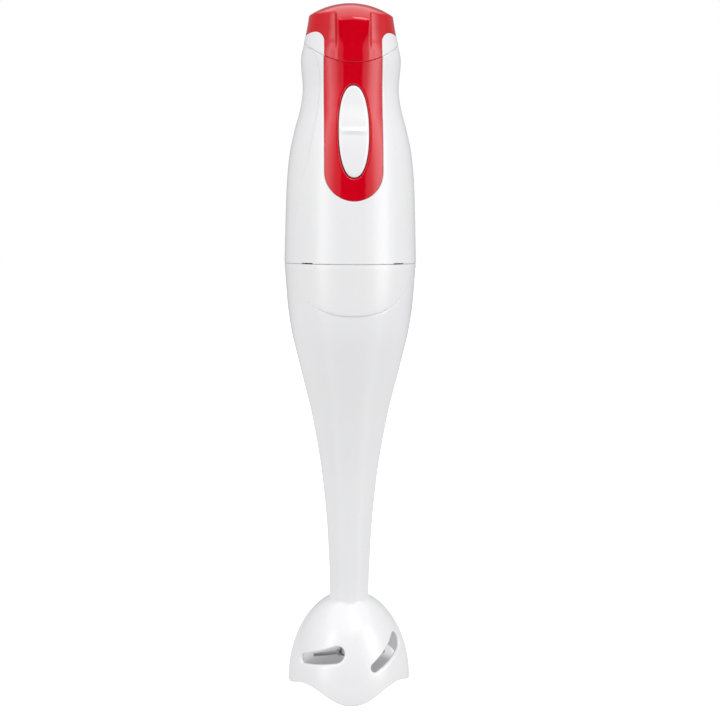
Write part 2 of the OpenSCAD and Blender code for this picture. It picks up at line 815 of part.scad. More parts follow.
module armature_core() {
    color("slategray") difference() {
        disc(armature_r, stator_z0, stator_z1);
        disc(motor_shaft_r, stator_z0 - 1, stator_z1 + 1);
        for (k = [0:teeth - 1]) rotate([0, 0, k * 360 / teeth])
            block([slot_r0, -1.1, stator_z0 - 1], [armature_r + 1, 1.1, stator_z1 + 1]);
    }
}
module armature_winding() {
    color("peru") {
        for (z = [stator_z0 - end_turn, stator_z1])
            ring(motor_shaft_r, armature_r - 2, z, z + end_turn);
        for (k = [0:teeth - 1]) rotate([0, 0, k * 360 / teeth])
            block([slot_r0, -0.9, stator_z0 - 1], [armature_r - 0.6, 0.9, stator_z1 + 1]);
    }
}
bars = 16;
bar_gap = 0.6;
module commutator() {
    color("peru") difference() {
        ring(motor_shaft_r, commutator_r, commutator_z0, commutator_z0 + commutator_h);
        for (k = [0:bars - 1]) rotate([0, 0, (k + 0.5) * 360 / bars])
            block([commutator_r - 1, -bar_gap / 2, commutator_z0 - 1],
                  [commutator_r + 1, bar_gap / 2, commutator_z0 + commutator_h + 1]);
    }
}
fan_blades = 12;
fan_blade_x = 9;
fan_blade_t = 1.4;
fan_sweep = 25;
module cooling_fan() {
    color("black") difference() {
        union() {
            disc(fan_r, fan_z0, fan_z0 + 1.6);
            disc(motor_shaft_r + 3, fan_z0, fan_z0 + fan_h);
            for (k = [0:fan_blades - 1]) rotate([0, 0, k * 360 / fan_blades])
                translate([fan_blade_x, 0, 0]) rotate([0, 0, fan_sweep])
                    block([0, -fan_blade_t / 2, fan_z0 + 0.5],
                          [fan_r - fan_blade_x - 0.5, fan_blade_t / 2, fan_z0 + fan_h]);
        }
        disc(motor_shaft_r, fan_z0 - 1, fan_z0 + fan_h + 1);
    }
}
// At rest each lug stands one degree short of the ear it will push
drive_play = 1;
coupling_wall = 2.5;
coupling_gap = 0.7;
module motor_coupling() {
    color("gainsboro") difference() {
        union() {
            disc(coupling_r, coupling_z0, coupling_z0 + coupling_t);
            disc(motor_shaft_r + coupling_wall, coupling_z0, plate_z0 - bearing_h - 0.6);
            for (a = [0, 180])
                sector(dog_hub_r + coupling_gap, coupling_r - 0.5, dog_z1 - dog_h + 0.2, coupling_z0 + 0.5,
                       a - ear_angle - drive_play, ear_angle);
        }
        disc(motor_shaft_r, shaft_z0, plate_z0);
    }
}

// ---- foot ----
bell_steps = 16;
taper_steps = 26;
bell_in_r = bell_d / 2 - wall;
bell_in_h = bell_h - 1.2 * wall;
lower_bush_top_lip = 2;
shoulder_r = 5;
inner_z0 = lower_bush_z1 + lower_bush_top_lip;
function outer_points(off) = concat(
    [for (k = [0:bell_steps - 1]) let (z = bell_h * sin(90 * k / bell_steps)) [foot_r(z) + off, z]],
    [for (k = [0:taper_steps]) let (z = mix(bell_h, foot_z1, k / taper_steps)) [foot_r(z) + off, z]]);
function inner_points() = concat(
    [for (k = [taper_steps:-1:0]) let (z = mix(inner_z0, foot_z1, k / taper_steps)) [taper_r(z) - wall, z]],
    [[shoulder_r, inner_z0], [shoulder_r, lower_bush_z1], [lower_bush_r, lower_bush_z1],
     [lower_bush_r, boss_z0], [boss_r, boss_z0], [boss_r, bell_in_h * sqrt(1 - pow(boss_r / bell_in_r, 2))]],
    [for (k = [bell_steps - 3:-1:0]) let (z = bell_in_h * sin(90 * k / bell_steps))
        [ellipse_r(z, bell_in_r, bell_in_h), z]]);
// Front view of the raised panel's curved lower end
smile_power = 2 / 2.3;
smile_step = 6;
module smile_outline() {
    half_w = panel_half_w(joint_z);
    polygon([for (a = [0:smile_step:180])
        [half_w * sign(cos(a)) * pow(abs(cos(a)), smile_power),
         foot_z1 - smile_drop * pow(sin(a), smile_power)]]);
}
// Wavy block that leaves four feet standing on the ground
foot_flat = 0.15;
wave_step = 5;
module arches() {
    turns = 360 / wave_step;
    r0 = bell_in_r - 8;
    r1 = bell_d / 2 + 5;
    function crest(a) = arch_h * (1 - cos(4 * a)) / 2 - foot_flat;
    function station(a) = [
        [r0 * cos(a), r0 * sin(a), crest(a)], [r1 * cos(a), r1 * sin(a), crest(a)],
        [r1 * cos(a), r1 * sin(a), -5], [r0 * cos(a), r0 * sin(a), -5]];
    points = [for (k = [0:turns - 1]) each station(k * wave_step)];
    faces = [for (k = [0:turns - 1], j = [0:3])
        let (a = 4 * k, b = 4 * ((k + 1) % turns), n = (j + 1) % 4)
        each [[a + j, b + j, b + n], [a + j, b + n, a + n]]];
    polyhedron(points, faces);
}
slot_z = 21.8;
slot_start_y = -15;
// Azimuth of each bell slot and how it slants
BELL_SLOTS = [[-37, 17], [41.5, 23], [143, 17], [221.5, 23]];
module slot_outline() {
    s = (slot_big_r - slot_tip_r) / slot_len;
    c = sqrt(1 - s * s);
    a = [-slot_len / 2, 0];
    b = [slot_len / 2, 0];
    translate(a) circle(r = slot_tip_r);
    translate(b) circle(r = slot_big_r);
    polygon([a + slot_tip_r * [-s, c], a + slot_tip_r * [-s, -c],
             b + slot_big_r * [-s, -c], b + slot_big_r * [-s, c]]);
}
ring_screw_r = 1.2;
ring_head_r = 1.9;
ring_head_h = 1.2;
ring_screw_at = [60, 180, 300];
flange_r = taper_r(ring_flange_z0) - wall - fit_gap;
ledge_z0 = ring_flange_z0 - 6;
ledge_steps = 10;
// Stations on the foot's skin between two heights, moved out by an offset
function taper_side(steps, z0, z1, off) =
    [for (k = steps) let (z = mix(z0, z1, k / ledge_steps)) [taper_r(z) + off, z]];
ring_screw_x = (ring_r + flange_r) / 2;
module foot_housing() {
    color("white") difference() {
        union() {
            rotate_extrude() polygon(concat(outer_points(0), inner_points()));
            intersection() {
                rotate_extrude() polygon(concat(
                    taper_side([0:ledge_steps], joint_z - smile_drop - 1, foot_z1, panel_rise),
                    taper_side([ledge_steps:-1:0], joint_z - smile_drop - 1, foot_z1, -0.5)));
                frontwards() smile_outline();
            }
            intersection() {
                ring(ring_r + 0.3, seam_r, ledge_z0, ring_flange_z0);
                rotate_extrude() polygon(concat([[0, ledge_z0 - 1]],
                    taper_side([0:ledge_steps], ledge_z0 - 1, ring_flange_z0 + 1, -wall / 2),
                    [[0, ring_flange_z0 + 1]]));
            }
        }
        arches();
        for (s = BELL_SLOTS) rotate([0, 0, s[0]]) translate([0, slot_start_y, slot_z])
            frontwards() rotate(s[1]) slot_outline();
        for (a = ring_screw_at) rotate([0, 0, a]) translate([ring_screw_x, 0, ledge_z0 + 1])
            cylinder(r = ring_screw_r, h = 10);
    }
}
track_r = spigot_r + lug_out + loose_gap;
bush_wall = 2.5;
bush_lip = 1.2;
module lock_ring() {
    color("lightgray") difference() {
        union() {
            ring(spigot_r + fit_gap, ring_r, ring_floor_z1 - eps, ring_flange_z0 + ring_flange_t);
            ring(ring_r - 1, flange_r, ring_flange_z0, ring_flange_z0 + ring_flange_t);
            disc(ring_r, ring_floor_z0, ring_floor_z1);
            disc(shaft_bush_r + bush_wall, ring_floor_z1 - shaft_bush_h - 1, ring_floor_z1);
        }
        disc(shaft_bush_r, ring_floor_z1 - shaft_bush_h, ring_floor_z1 + 1);
        disc(shaft_bush_r - bush_lip, ring_floor_z0 - far, ring_floor_z1);
        for (a = LUG_AT) {
            sector(spigot_r - 1, track_r, lug_z0 - loose_gap, lug_z0 + lug_h + loose_gap,
                   a - twist_angle / 2, lug_angle + twist_angle + 1);
            sector(spigot_r - 1, track_r, lug_z0, joint_z, a - twist_angle, lug_angle + 1);
        }
        for (a = ring_screw_at) rotate([0, 0, a]) translate([ring_screw_x, 0, ring_flange_z0 - 1])
            cylinder(r = ring_screw_r + screw_gap, h = ring_flange_t + 2);
    }
}
module lock_screws() {
    color("silver") for (a = ring_screw_at) rotate([0, 0, a]) translate([ring_screw_x, 0, 0]) {
        disc(ring_screw_r, ledge_z0 + 1.5, ring_flange_z0 + ring_flange_t + 0.5);
        disc(ring_head_r, ring_flange_z0 + ring_flange_t, ring_flange_z0 + ring_flange_t + ring_head_h);
    }
}
module upper_shaft_bush() {
    color("darkgoldenrod") ring(drive_r + fit_gap, shaft_bush_r, ring_floor_z1 - shaft_bush_h, ring_floor_z1);
}
module lower_shaft_bush() {
    color("darkgoldenrod") ring(drive_r + fit_gap, lower_bush_r, lower_bush_z0, lower_bush_z1);
}
module shaft_seal() {
    color("dimgray") ring(drive_r + fit_gap, lower_bush_r, boss_z0 + 0.5, boss_z0 + 0.5 + seal_h);
}
clip_t = 1;
clip_in = 0.4;
washer_t = 1;
washer_z1 = ring_floor_z1 - shaft_bush_h - 1 - 0.1;
clip_z1 = washer_z1 - washer_t;
hub_z0 = blade_z - 3;
hub_z1 = boss_z0 - 1.2;
hub_r = 5.5;
blade_hole_r = drive_r + 1.2;
module drive_shaft() {
    color("silver") difference() {
        disc(drive_r, hub_z0 + 1.5, dog_z1);
        ring(drive_r - clip_in, drive_r + 1, clip_z1 - clip_t, clip_z1);
    }
}
module drive_dog() {
    color("gainsboro") difference() {
        union() {
            disc(dog_hub_r, dog_z1 - dog_h, dog_z1);
            for (a = [0, 180]) sector(dog_hub_r - 1, dog_r, dog_z1 - dog_h + 0.3, dog_z1 - 0.3, a, ear_angle);
        }
        disc(drive_r, dog_z1 - dog_h - 1, dog_z1 + 1);
    }
}
module thrust_washer() {
    color("silver") ring(drive_r + fit_gap, shaft_bush_r, clip_z1, washer_z1);
}
module retaining_clip() {
    color("silver") difference() {
        ring(drive_r - clip_in, drive_r + 2, clip_z1 - clip_t, clip_z1);
        block([0, -1.6, clip_z1 - clip_t - 1], [drive_r + 3, 1.6, clip_z1 + 1]);
    }
}
module blade_hub() {
    color("silver") difference() {
        union() {
            disc(hub_r, blade_z + blade_t, hub_z1);
            disc(blade_hole_r, blade_z - 0.5, blade_z + blade_t + 0.5);
            disc(hub_r - 0.5, hub_z0, blade_z);
        }
        disc(drive_r, hub_z0 + 1.5, hub_z1 + 1);
    }
}
blade_w = 7;
blade_eye_r = hub_r + 1;
// Each wing is a flat slab, pitched and bent, cut to a plan that narrows towards its tip
wing_x = hub_r + 0.2;
wing_bend = 4;
wing_lead = 0.65 * blade_w / 2;
wing_trail = 0.9 * blade_w / 2;
module blade_wing(bend) {
    intersection() {
        disc(blade_r, 0, far);
        linear_extrude(far) polygon([
            [0, -blade_w / 2], [wing_x, -blade_w / 2], [blade_r + 1, -wing_lead],
            [blade_r + 1, wing_trail], [wing_x, blade_w / 2], [0, blade_w / 2]]);
        translate([wing_x, 0, blade_z + blade_t / 2]) rotate([wing_pitch, bend, 0])
            translate([0, -far / 2, -blade_t / 2]) cube([blade_r, far, blade_t]);
    }
}
module blade() {
    color("silver") difference() {
        union() {
            disc(blade_eye_r, blade_z, blade_z + blade_t);
            blade_wing(-wing_bend);
            rotate([0, 0, 180]) blade_wing(wing_bend);
        }
        disc(blade_hole_r, blade_z - 1, blade_z + blade_t + 1);
    }
}

handle_front_shell();
handle_rear_shell();
button_bezel();
cap_cover();
cap_collar();
cord_bushing();
cord_clamp();
clamp_screws();
housing_screws();
handle_spigot();
lower_motor_bearing();
motor_cage();
stator_core();
field_coils();
upper_bracket();
upper_motor_bearing();
motor_bolts();
brush_holders();
carbon_brushes();
brush_springs();
switch_board();
board_screws();
speed_switches();
suppression_capacitor();
rocker_pin();
rocker_button();
upper_plunger();
lower_plunger();
motor_shaft();
armature_core();
armature_winding();
commutator();
cooling_fan();
motor_coupling();
foot_housing();
lock_ring();
lock_screws();
upper_shaft_bush();
lower_shaft_bush();
shaft_seal();
drive_shaft();
drive_dog();
thrust_washer();
retaining_clip();
blade_hub();
blade();
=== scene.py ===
# %% [markdown]
# # An immersion blender, built piece by piece
# A hand blender is two tapered shells that meet at a wide waist: a handle with a red button strip and a red
# cap, and a foot that narrows to a neck and opens into a bell over the blade. The measured frame is loaded
# first, and every piece below is placed from it. Lengths in the helpers are millimetres, as in the drawing,
# and are turned to metres once, when a mesh is made.

# %% Load the frame
import json
import math
import bmesh
import bpy
import numpy as np
from mathutils import Matrix, Vector

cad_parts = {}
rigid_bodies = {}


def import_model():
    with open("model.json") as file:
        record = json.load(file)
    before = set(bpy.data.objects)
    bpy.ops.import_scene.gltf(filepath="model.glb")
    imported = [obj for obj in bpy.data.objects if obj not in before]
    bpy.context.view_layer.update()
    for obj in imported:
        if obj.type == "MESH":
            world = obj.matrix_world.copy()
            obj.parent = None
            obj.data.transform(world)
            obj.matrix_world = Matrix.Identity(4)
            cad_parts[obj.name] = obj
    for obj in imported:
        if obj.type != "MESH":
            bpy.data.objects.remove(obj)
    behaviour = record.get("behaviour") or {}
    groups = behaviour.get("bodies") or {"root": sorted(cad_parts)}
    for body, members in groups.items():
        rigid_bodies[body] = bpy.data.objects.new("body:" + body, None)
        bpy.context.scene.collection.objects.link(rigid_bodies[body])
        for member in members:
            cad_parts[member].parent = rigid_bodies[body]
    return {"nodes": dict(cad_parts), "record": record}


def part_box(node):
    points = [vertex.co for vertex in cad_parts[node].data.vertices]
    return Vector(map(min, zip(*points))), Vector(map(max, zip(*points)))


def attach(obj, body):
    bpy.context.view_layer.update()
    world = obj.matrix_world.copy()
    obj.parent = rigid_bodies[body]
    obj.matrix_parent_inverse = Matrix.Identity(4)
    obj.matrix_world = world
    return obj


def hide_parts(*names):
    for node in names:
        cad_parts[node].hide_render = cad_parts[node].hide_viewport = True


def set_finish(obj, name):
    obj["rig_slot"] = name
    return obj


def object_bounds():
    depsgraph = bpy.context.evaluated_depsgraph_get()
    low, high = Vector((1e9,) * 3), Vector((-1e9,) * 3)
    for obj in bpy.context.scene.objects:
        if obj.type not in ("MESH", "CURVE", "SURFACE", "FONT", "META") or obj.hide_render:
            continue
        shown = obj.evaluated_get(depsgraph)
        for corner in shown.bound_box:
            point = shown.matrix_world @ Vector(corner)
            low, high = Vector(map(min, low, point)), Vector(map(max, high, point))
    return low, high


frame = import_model()
cad_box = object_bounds()
MM = 0.001
nodes = frame["nodes"]


def node_box(name):
    """Lowest and highest corner of a node, in millimetres."""
    low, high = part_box(name)
    return np.array(low) / MM, np.array(high) / MM


# %% [markdown]
# ## Sizes read from the frame
# The heights of the real object come from the boxes of its own nodes, and its radii are given in millimetres. The
# outline between them is a smooth curve through a few stations, written as shares of these sizes, so its heights
# follow the frame.

# %% Sizes
seam_gap = 0.4
joint_z = node_box("handle_rear_shell")[0][2] - seam_gap / 2
top_z = cad_box[1][2] / MM
handle_h = top_z - joint_z
seam_r, waist_r, bulge_r, crown_r = 33.4, 23.75, 24.65, 20.8
neck_r, bell_r, bell_h, neck_fillet = 10.45, 32.85, 47.3, 8
bush_top = node_box("lower_shaft_bush")[1][2]
boss_z0 = node_box("shaft_seal")[0][2] - 0.5
mid_z = (node_box("rocker_pin")[0][2] + node_box("rocker_pin")[1][2]) / 2
wall, raise_mm, gap = 2.2, 0.4, 0.06
print("joint", round(joint_z, 2), "top", round(top_z, 2), "button middle", round(mid_z, 2))


# %% Smooth outlines
def through(stations, x):
    """A curve through stations [position, value] that never overshoots between them."""
    xs = np.array([s[0] for s in stations], float)
    ys = np.array([s[1] for s in stations], float)
    rise = np.diff(ys) / np.diff(xs)
    slope = np.concatenate([[rise[0]], np.zeros(len(xs) - 2), [rise[-1]]])
    for i in range(1, len(xs) - 1):
        if rise[i - 1] * rise[i] > 0:
            slope[i] = 2 / (1 / rise[i - 1] + 1 / rise[i])
    x = np.clip(np.asarray(x, float), xs[0], xs[-1])
    i = np.clip(np.searchsorted(xs, x, "right") - 1, 0, len(xs) - 2)
    w = xs[i + 1] - xs[i]
    t = (x - xs[i]) / w
    return ((2 * t ** 3 - 3 * t ** 2 + 1) * ys[i] + (t ** 3 - 2 * t ** 2 + t) * slope[i] * w
            + (3 * t ** 2 - 2 * t ** 3) * ys[i + 1] + (t ** 3 - t ** 2) * slope[i + 1] * w)


def mix(a, b, t):
    """Between a and b by the share t."""
    return a + (b - a) * t


HANDLE = [[0, seam_r], [0.17, mix(seam_r, waist_r, 0.07)], [0.30, mix(seam_r, waist_r, 0.14)],
          [0.42, mix(seam_r, waist_r, 0.29)], [0.52, mix(seam_r, waist_r, 0.57)],
          [0.60, mix(seam_r, waist_r, 0.86)], [0.675, waist_r], [0.785, bulge_r],
          [0.84, mix(bulge_r, crown_r, 0.36)], [0.94, crown_r], [1.05, crown_r - 1.5]]
TAPER_SHARES = [(0.17, 0.042), (0.36, 0.165), (0.54, 0.383), (0.72, 0.706), (0.81, 0.862),
                (0.89, 0.943), (1, 1)]
TAPER = [[-0.3, neck_r], [0, neck_r]] + [[share, mix(neck_r, seam_r, part)]
                                         for share, part in TAPER_SHARES]
# Half the width of the front panel in degrees round the handle, against the share of its height
PANEL = [[0, 62], [0.17, 57.5], [0.30, 51], [0.43, 42.5], [0.55, 40.5], [0.69, 40.5],
         [0.76, 43], [0.80, 52], [0.83, 72], [0.86, 88]]


def handle_r(z):
    return through(HANDLE, (z - joint_z) / handle_h)


def taper_r(z):
    return through(TAPER, (z - bell_h) / (joint_z - bell_h))


def dome_r(z, a, b):
    return a * np.sqrt(np.clip(1 - (z / b) ** 2, 0, 1))


def foot_r(z):
    """The bell runs into the neck with a small fillet: a soft maximum of the two radii."""
    return (dome_r(z, bell_r, bell_h) ** neck_fillet + taper_r(z) ** neck_fillet) ** (1 / neck_fillet)


# %% [markdown]
# ## How the shells are made
# A moulded shell is a smooth skin with crisp edges: seams, slots and a button hole. A boolean cut would leave
# ragged triangles along each edge. Instead each shell starts as a plain grid on a mandrel, where azimuth runs
# round and height runs up. Outlines are scored into that grid as contour lines of a distance in millimetres,
# the waste is peeled off, and only then is the grid mapped onto the curved skin, with its edges rolled over
# by a fixed radius and a second skin one wall further in.

# %% Mandrel grids and scoring
MANDREL_R = 30.0


def mandrel(u0, u1, columns, heights):
    """A grid from azimuth u0 to u1 degrees (0 faces the front), with a row at each height."""
    bm = bmesh.new()
    closed = u1 - u0 >= 360
    angles = np.radians(np.linspace(u0, u1, columns + 1))[:columns if closed else columns + 1]
    rows = [[bm.verts.new((MANDREL_R * math.sin(a), -MANDREL_R * math.cos(a), h)) for a in angles]
            for h in heights]
    count = len(angles)
    for low, high in zip(rows, rows[1:]):
        for i in range(count if closed else count - 1):
            k = (i + 1) % count
            bm.faces.new((low[i], low[k], high[k], high[i]))
    return bm


def places(bm):
    """Azimuth in radians and height of every vertex."""
    co = np.array([v.co[:] for v in bm.verts])
    return np.arctan2(co[:, 0], -co[:, 1]), co[:, 2]


def score(bm, field, *levels):
    """Adds a line of edges where the field has each level."""
    for level in levels:
        bm.verts.index_update()
        at = field(*places(bm)) - level
        at[np.abs(at) < 1e-4] = 0
        at = at.tolist()
        marked = {v for v, d in zip(bm.verts, at) if d == 0}
        crossing = [e for e in bm.edges if at[e.verts[0].index] * at[e.verts[1].index] < 0]
        for e in crossing:
            a, b = e.verts
            da, db = at[a.index], at[b.index]
            marked.add(bmesh.utils.edge_split(e, a, da / (da - db))[1])
        for f in {f for v in marked for f in v.link_faces}:
            on = [v for v in f.verts if v in marked]
            if len(on) == 2 and not any(e for e in on[0].link_edges if e.other_vert(on[0]) is on[1]):
                bmesh.utils.face_split(f, on[0], on[1])


def peel(bm, field):
    """Takes away the faces where the field is negative."""
    middles = np.array([f.calc_center_median()[:] for f in bm.faces])
    at = field(np.arctan2(middles[:, 0], -middles[:, 1]), middles[:, 2])
    waste = [f for f, d in zip(bm.faces, at.tolist()) if d < 0]
    bmesh.ops.delete(bm, geom=waste, context="FACES")


def scored(span, columns, heights, scores, edge):
    """A grid scored along several fields and peeled to one outline."""
    bm = mandrel(span[0], span[1], columns, heights)
    for field, levels in scores:
        score(bm, field, *levels)
    peel(bm, edge)
    return bm


def roll(distance, radius):
    """How deep a rolled edge lies below the skin, at a distance inside the edge."""
    d = np.clip(distance, 0, radius)
    return radius - np.sqrt(np.maximum(radius ** 2 - (radius - d) ** 2, 0))


def roll_steps(radius, steps=4):
    return [radius * (1 - math.cos(math.radians(90 * k / steps))) for k in range(1, steps + 1)]


def step(distance, width=0.3):
    """0 to 1 over a width, centred on distance 0."""
    t = np.clip(distance / width + 0.5, 0, 1)
    return t * t * (3 - 2 * t)


def finish_mesh(name, verts, faces, sharp_angle=38):
    """A piece from millimetre vertices: smooth, with true edges where the surface turns sharply."""
    mesh = bpy.data.meshes.new(name)
    mesh.from_pydata((np.asarray(verts) * MM).tolist(), [], faces)
    mesh.validate()
    mesh.update()
    mesh.shade_smooth()
    mesh.set_sharp_from_angle(angle=math.radians(sharp_angle))
    piece = bpy.data.objects.new(name, mesh)
    bpy.context.scene.collection.objects.link(piece)
    return piece


def shell(name, bm, outer, inner):
    """Maps a scored grid to a closed shell between an outer and an inner skin, both f(azimuth, height)."""
    bm.verts.index_update()
    a, v = places(bm)
    outside, inside = outer(a, v), inner(a, v)
    n = len(outside)
    faces = [[w.index for w in f.verts] for f in bm.faces]
    sides = []
    for e in bm.edges:
        if len(e.link_faces) == 1:
            corner = next(c for c in e.link_faces[0].loops if c.edge is e)
            p, q = corner.vert.index, corner.link_loop_next.vert.index
            sides.append([q, p, p + n, q + n])
    back = [[i + n for i in reversed(f)] for f in faces]
    bm.free()
    piece = finish_mesh(name, np.vstack([outside, inside]), faces + back + sides)
    print(name, len(piece.data.vertices), "vertices,", len(piece.data.polygons), "faces")
    return piece


def round_axis(r, a, z):
    return np.stack([r * np.sin(a), -r * np.cos(a), z], axis=1)


def true_distance(field, radius_at):
    """Turns any field that is zero on an outline into a distance along the skin, by its own steepness."""
    def measured(a, v):
        d, h = 1e-3, 0.05
        value = field(a, v)
        across = (field(a + d, v) - field(a - d, v)) / (2 * d * radius_at(v))
        up = (field(a, v + h) - field(a, v - h)) / (2 * h)
        return value / np.maximum(np.hypot(across, up), 1e-6)
    return measured


# %% [markdown]
# ## Foot: bell, neck and tapered tube
# The real foot is one white moulding. Its bell has four feet with arches between them, four slanted teardrop
# slots with soft rolled lips, and near the top a raised panel that ends in a curved smile. The bell's rim is
# scalloped, so the grid's lowest rows follow the arches and straighten out above them.

# %% Outlines on the foot
arch_h, rim_roll, lip_roll = 7.6, 0.9, 1.05
SLOTS = [(-37, 17), (41.5, 23), (143, 17), (221.5, 23)]
slot_z, slot_half, slot_tip_r, slot_big_r, slot_ease = 21.8, 10.0, 2.0, 3.7, 0.3
smile_drop, smile_power = 24.7, 2.3
smile_half_w = seam_r * math.sin(math.radians(PANEL[0][1]))
foot_flat, rim_fade_h = 0.15, 26.0
groove_deep, groove_w, end_roll = 0.16, 0.22, 0.25


def rim(a):
    """Height of the scalloped rim: four arches between four feet."""
    return np.maximum(arch_h * (1 - np.cos(4 * a)) / 2 - foot_flat, 0)


def foot_z(a, v):
    """Height on the foot: rows start on the scalloped rim and level out."""
    return v + rim(a) * np.clip(1 - v / rim_fade_h, 0, 1) ** 2


def slot_distance(a, v):
    """Distance outside the nearest teardrop slot, in the slot's own front view."""
    z = foot_z(a, v)
    r = foot_r(z)
    nearest = np.full_like(z, 99.0)
    lean = (slot_tip_r - slot_big_r) / (2 * slot_half)
    side = math.sqrt(1 - lean * lean)
    for azimuth, slant in SLOTS:
        turn = a - math.radians(azimuth)
        x, y = r * np.sin(turn), z - slot_z
        c, s = math.cos(math.radians(slant)), math.sin(math.radians(slant))
        along, across = x * c + y * s + slot_half, np.abs(-x * s + y * c)
        k = -lean * across + side * along
        middle = across * side + along * lean - slot_tip_r
        tip = np.hypot(across, along) - slot_tip_r
        big = np.hypot(across, along - 2 * slot_half) - slot_big_r
        reach = np.where(k < 0, tip, np.where(k > side * 2 * slot_half, big, middle))
        nearest = np.minimum(nearest, np.where(np.cos(turn) > 0.3, reach, 99.0))
    return nearest - slot_ease


def smile_field(a, v):
    """Positive on the raised panel, whose lower end is a wide soft curve."""
    x = foot_r(v) * np.sin(a)
    share = (np.abs(x / smile_half_w) ** smile_power
             + (np.maximum(foot_top - v, 0) / smile_drop) ** smile_power) ** (1 / smile_power)
    return np.where(np.cos(a) > 0, 1 - share, -1.0)


foot_top = joint_z - gap
smile_distance = true_distance(smile_field, foot_r)


def foot_outer(a, v):
    z = foot_z(a, v)
    depth = roll(slot_distance(a, v), lip_roll) + roll(v, rim_roll) + roll(foot_top - v, end_roll)
    near_panel = v > joint_z - 40
    proud = raise_mm * step(smile_distance(a, v)) * near_panel
    groove = groove_deep * np.exp(-(smile_distance(a, v) / groove_w) ** 2) * near_panel
    return round_axis(foot_r(z) - depth + proud - groove, a, z)


# %% Inner skin of the foot
bell_in_h, boss_r, bush_r, shoulder_r = bell_h - 1.2 * wall, 9, 6.5, 5
dome_row, tube_row = 40, 50


def foot_inner(a, v):
    """Dome of the bell, boss of the lower bush and bore of the tube, as one path up the same rows."""
    z = foot_z(a, v)
    dome = dome_r(np.minimum(z, 44), bell_r - wall, bell_in_h)
    dome = dome + roll(slot_distance(a, v), lip_roll) + roll(v, rim_roll)
    # Between the dome and the tube the rows are spent on the boss: [row, radius, height]
    rows, radii, heights = zip(
        (dome_row, dome_r(dome_row, bell_r - wall, bell_in_h), dome_row), (41, boss_r + 1.2, 42.6),
        (42, boss_r, 40.5), (43, boss_r, boss_z0), (44, bush_r, boss_z0), (45, bush_r, bush_top),
        (46, shoulder_r, bush_top), (48, shoulder_r, bush_top + 3),
        (tube_row, float(taper_r(tube_row)) - wall, tube_row))
    r = np.where(v <= dome_row, dome, np.where(v <= tube_row, np.interp(v, rows, radii), taper_r(v) - wall))
    z = np.where(v <= dome_row, z, np.where(v <= tube_row, np.interp(v, rows, heights), v))
    return round_axis(r, a, z)


# %% Build the foot
foot_rows = np.concatenate([np.arange(0, 40, 0.7), np.arange(40, 52, 0.5),
                            np.linspace(52, foot_top, 110)])
grid = mandrel(0, 360, 360, foot_rows)
score(grid, slot_distance, 0, *roll_steps(lip_roll), 1.6)
score(grid, lambda a, v: v, *roll_steps(rim_roll))
score(grid, smile_distance, -0.3, -0.15, 0, 0.15, 0.3)
peel(grid, slot_distance)
foot = shell("foot_moulding", grid, foot_outer, foot_inner)
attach(foot, "foot")
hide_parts("foot_housing")
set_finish(foot, "white_shell")

# %% [markdown]
# ## Handle shells
# The front shell is a panel that stands a little proud of the rear shell. Its edge sweeps in from the joint
# to the grip and back out under the cap. Both shells stop short of the curved seam under the cap and of the
# joint with the foot, where four short air slits are cut.

# %% Outlines on the handle
cap_h, cap_seam_r = 32.1, 28.0
cap_seam_mid = top_z - cap_h + cap_seam_r
strip_half_w, strip_drop = 13.7, 32.4
strip_round_z = mid_z - strip_drop + strip_half_w
slit_angle, slit_half_w, slit_h = 41.5, 3.5, 0.5
oval_a, oval_b, oval_power = 7.1, 21.5, 2.25


def front_x(a, z):
    """How far a place on the handle lies from the middle, seen from the front."""
    return handle_r(z) * np.sin(a)


def cap_distance(a, z):
    """Positive above the curved seam under the cap."""
    x = front_x(a, z)
    return cap_seam_r - np.hypot(x, np.minimum(z - cap_seam_mid, 0))


def strip_distance(a, z):
    """Positive inside the red strip, which has a round lower end."""
    x = front_x(a, z)
    inside = strip_half_w - np.hypot(x, np.minimum(z - strip_round_z, 0))
    return np.where(np.cos(a) > 0, inside, -99.0)


def oval_field(a, z):
    """Positive inside the long oval of the button."""
    x = front_x(a, z)
    share = (np.abs(x / oval_a) ** oval_power
             + np.abs((z - mid_z) / oval_b) ** oval_power) ** (1 / oval_power)
    return np.where(np.cos(a) > 0, 1 - share, -1.0)


def panel_field(a, z):
    """Positive on the front panel."""
    edge = np.radians(through(PANEL, (z - joint_z) / handle_h))
    return (edge - np.abs(a)) * handle_r(z)


def slit_distance(a, z):
    """Distance outside the nearest air slit at the joint."""
    from_slit = np.minimum(np.abs(np.abs(a) - math.radians(slit_angle)),
                           np.abs(np.abs(a) - math.radians(180 - slit_angle))) * handle_r(z)
    across, up = from_slit - slit_half_w, z - (joint_z + slit_h)
    return np.where((across < 0) & (up < 0), np.maximum(across, up),
                    np.hypot(np.maximum(across, 0), np.maximum(up, 0)))


panel_distance = true_distance(panel_field, handle_r)
oval_distance = true_distance(oval_field, handle_r)
# Half the gap at the cap's seam, and the hairline beside the panel and the strip
seam_half, hair = 0.05, 0.08


def front_edge(a, z):
    """Distance inside the front shell's own outline."""
    return np.minimum.reduce([panel_distance(a, z) - hair, -strip_distance(a, z) - hair,
                              -cap_distance(a, z) - seam_half, slit_distance(a, z), z - joint_z - gap])


def rear_edge(a, z):
    return np.minimum.reduce([-panel_distance(a, z) - hair, -cap_distance(a, z) - seam_half,
                              slit_distance(a, z), z - joint_z - gap])


# %% Build the handle shells
handle_rows = np.concatenate([[joint_z + gap], np.arange(joint_z + 1, joint_z + 112, 0.9)])


def handle_shell(name, edge, columns, proud, edge_roll, scores, thick, span=(-180, 180)):
    """One shell of the handle: scored to its outline, peeled, and mapped onto the handle's skin."""
    def outer(a, z):
        return round_axis(handle_r(z) + proud(a, z) - roll(edge(a, z), edge_roll), a, z)

    def inner(a, z):
        return round_axis(handle_r(z) - thick, a, z)
    return shell(name, scored(span, columns, handle_rows, scores, edge), outer, inner)


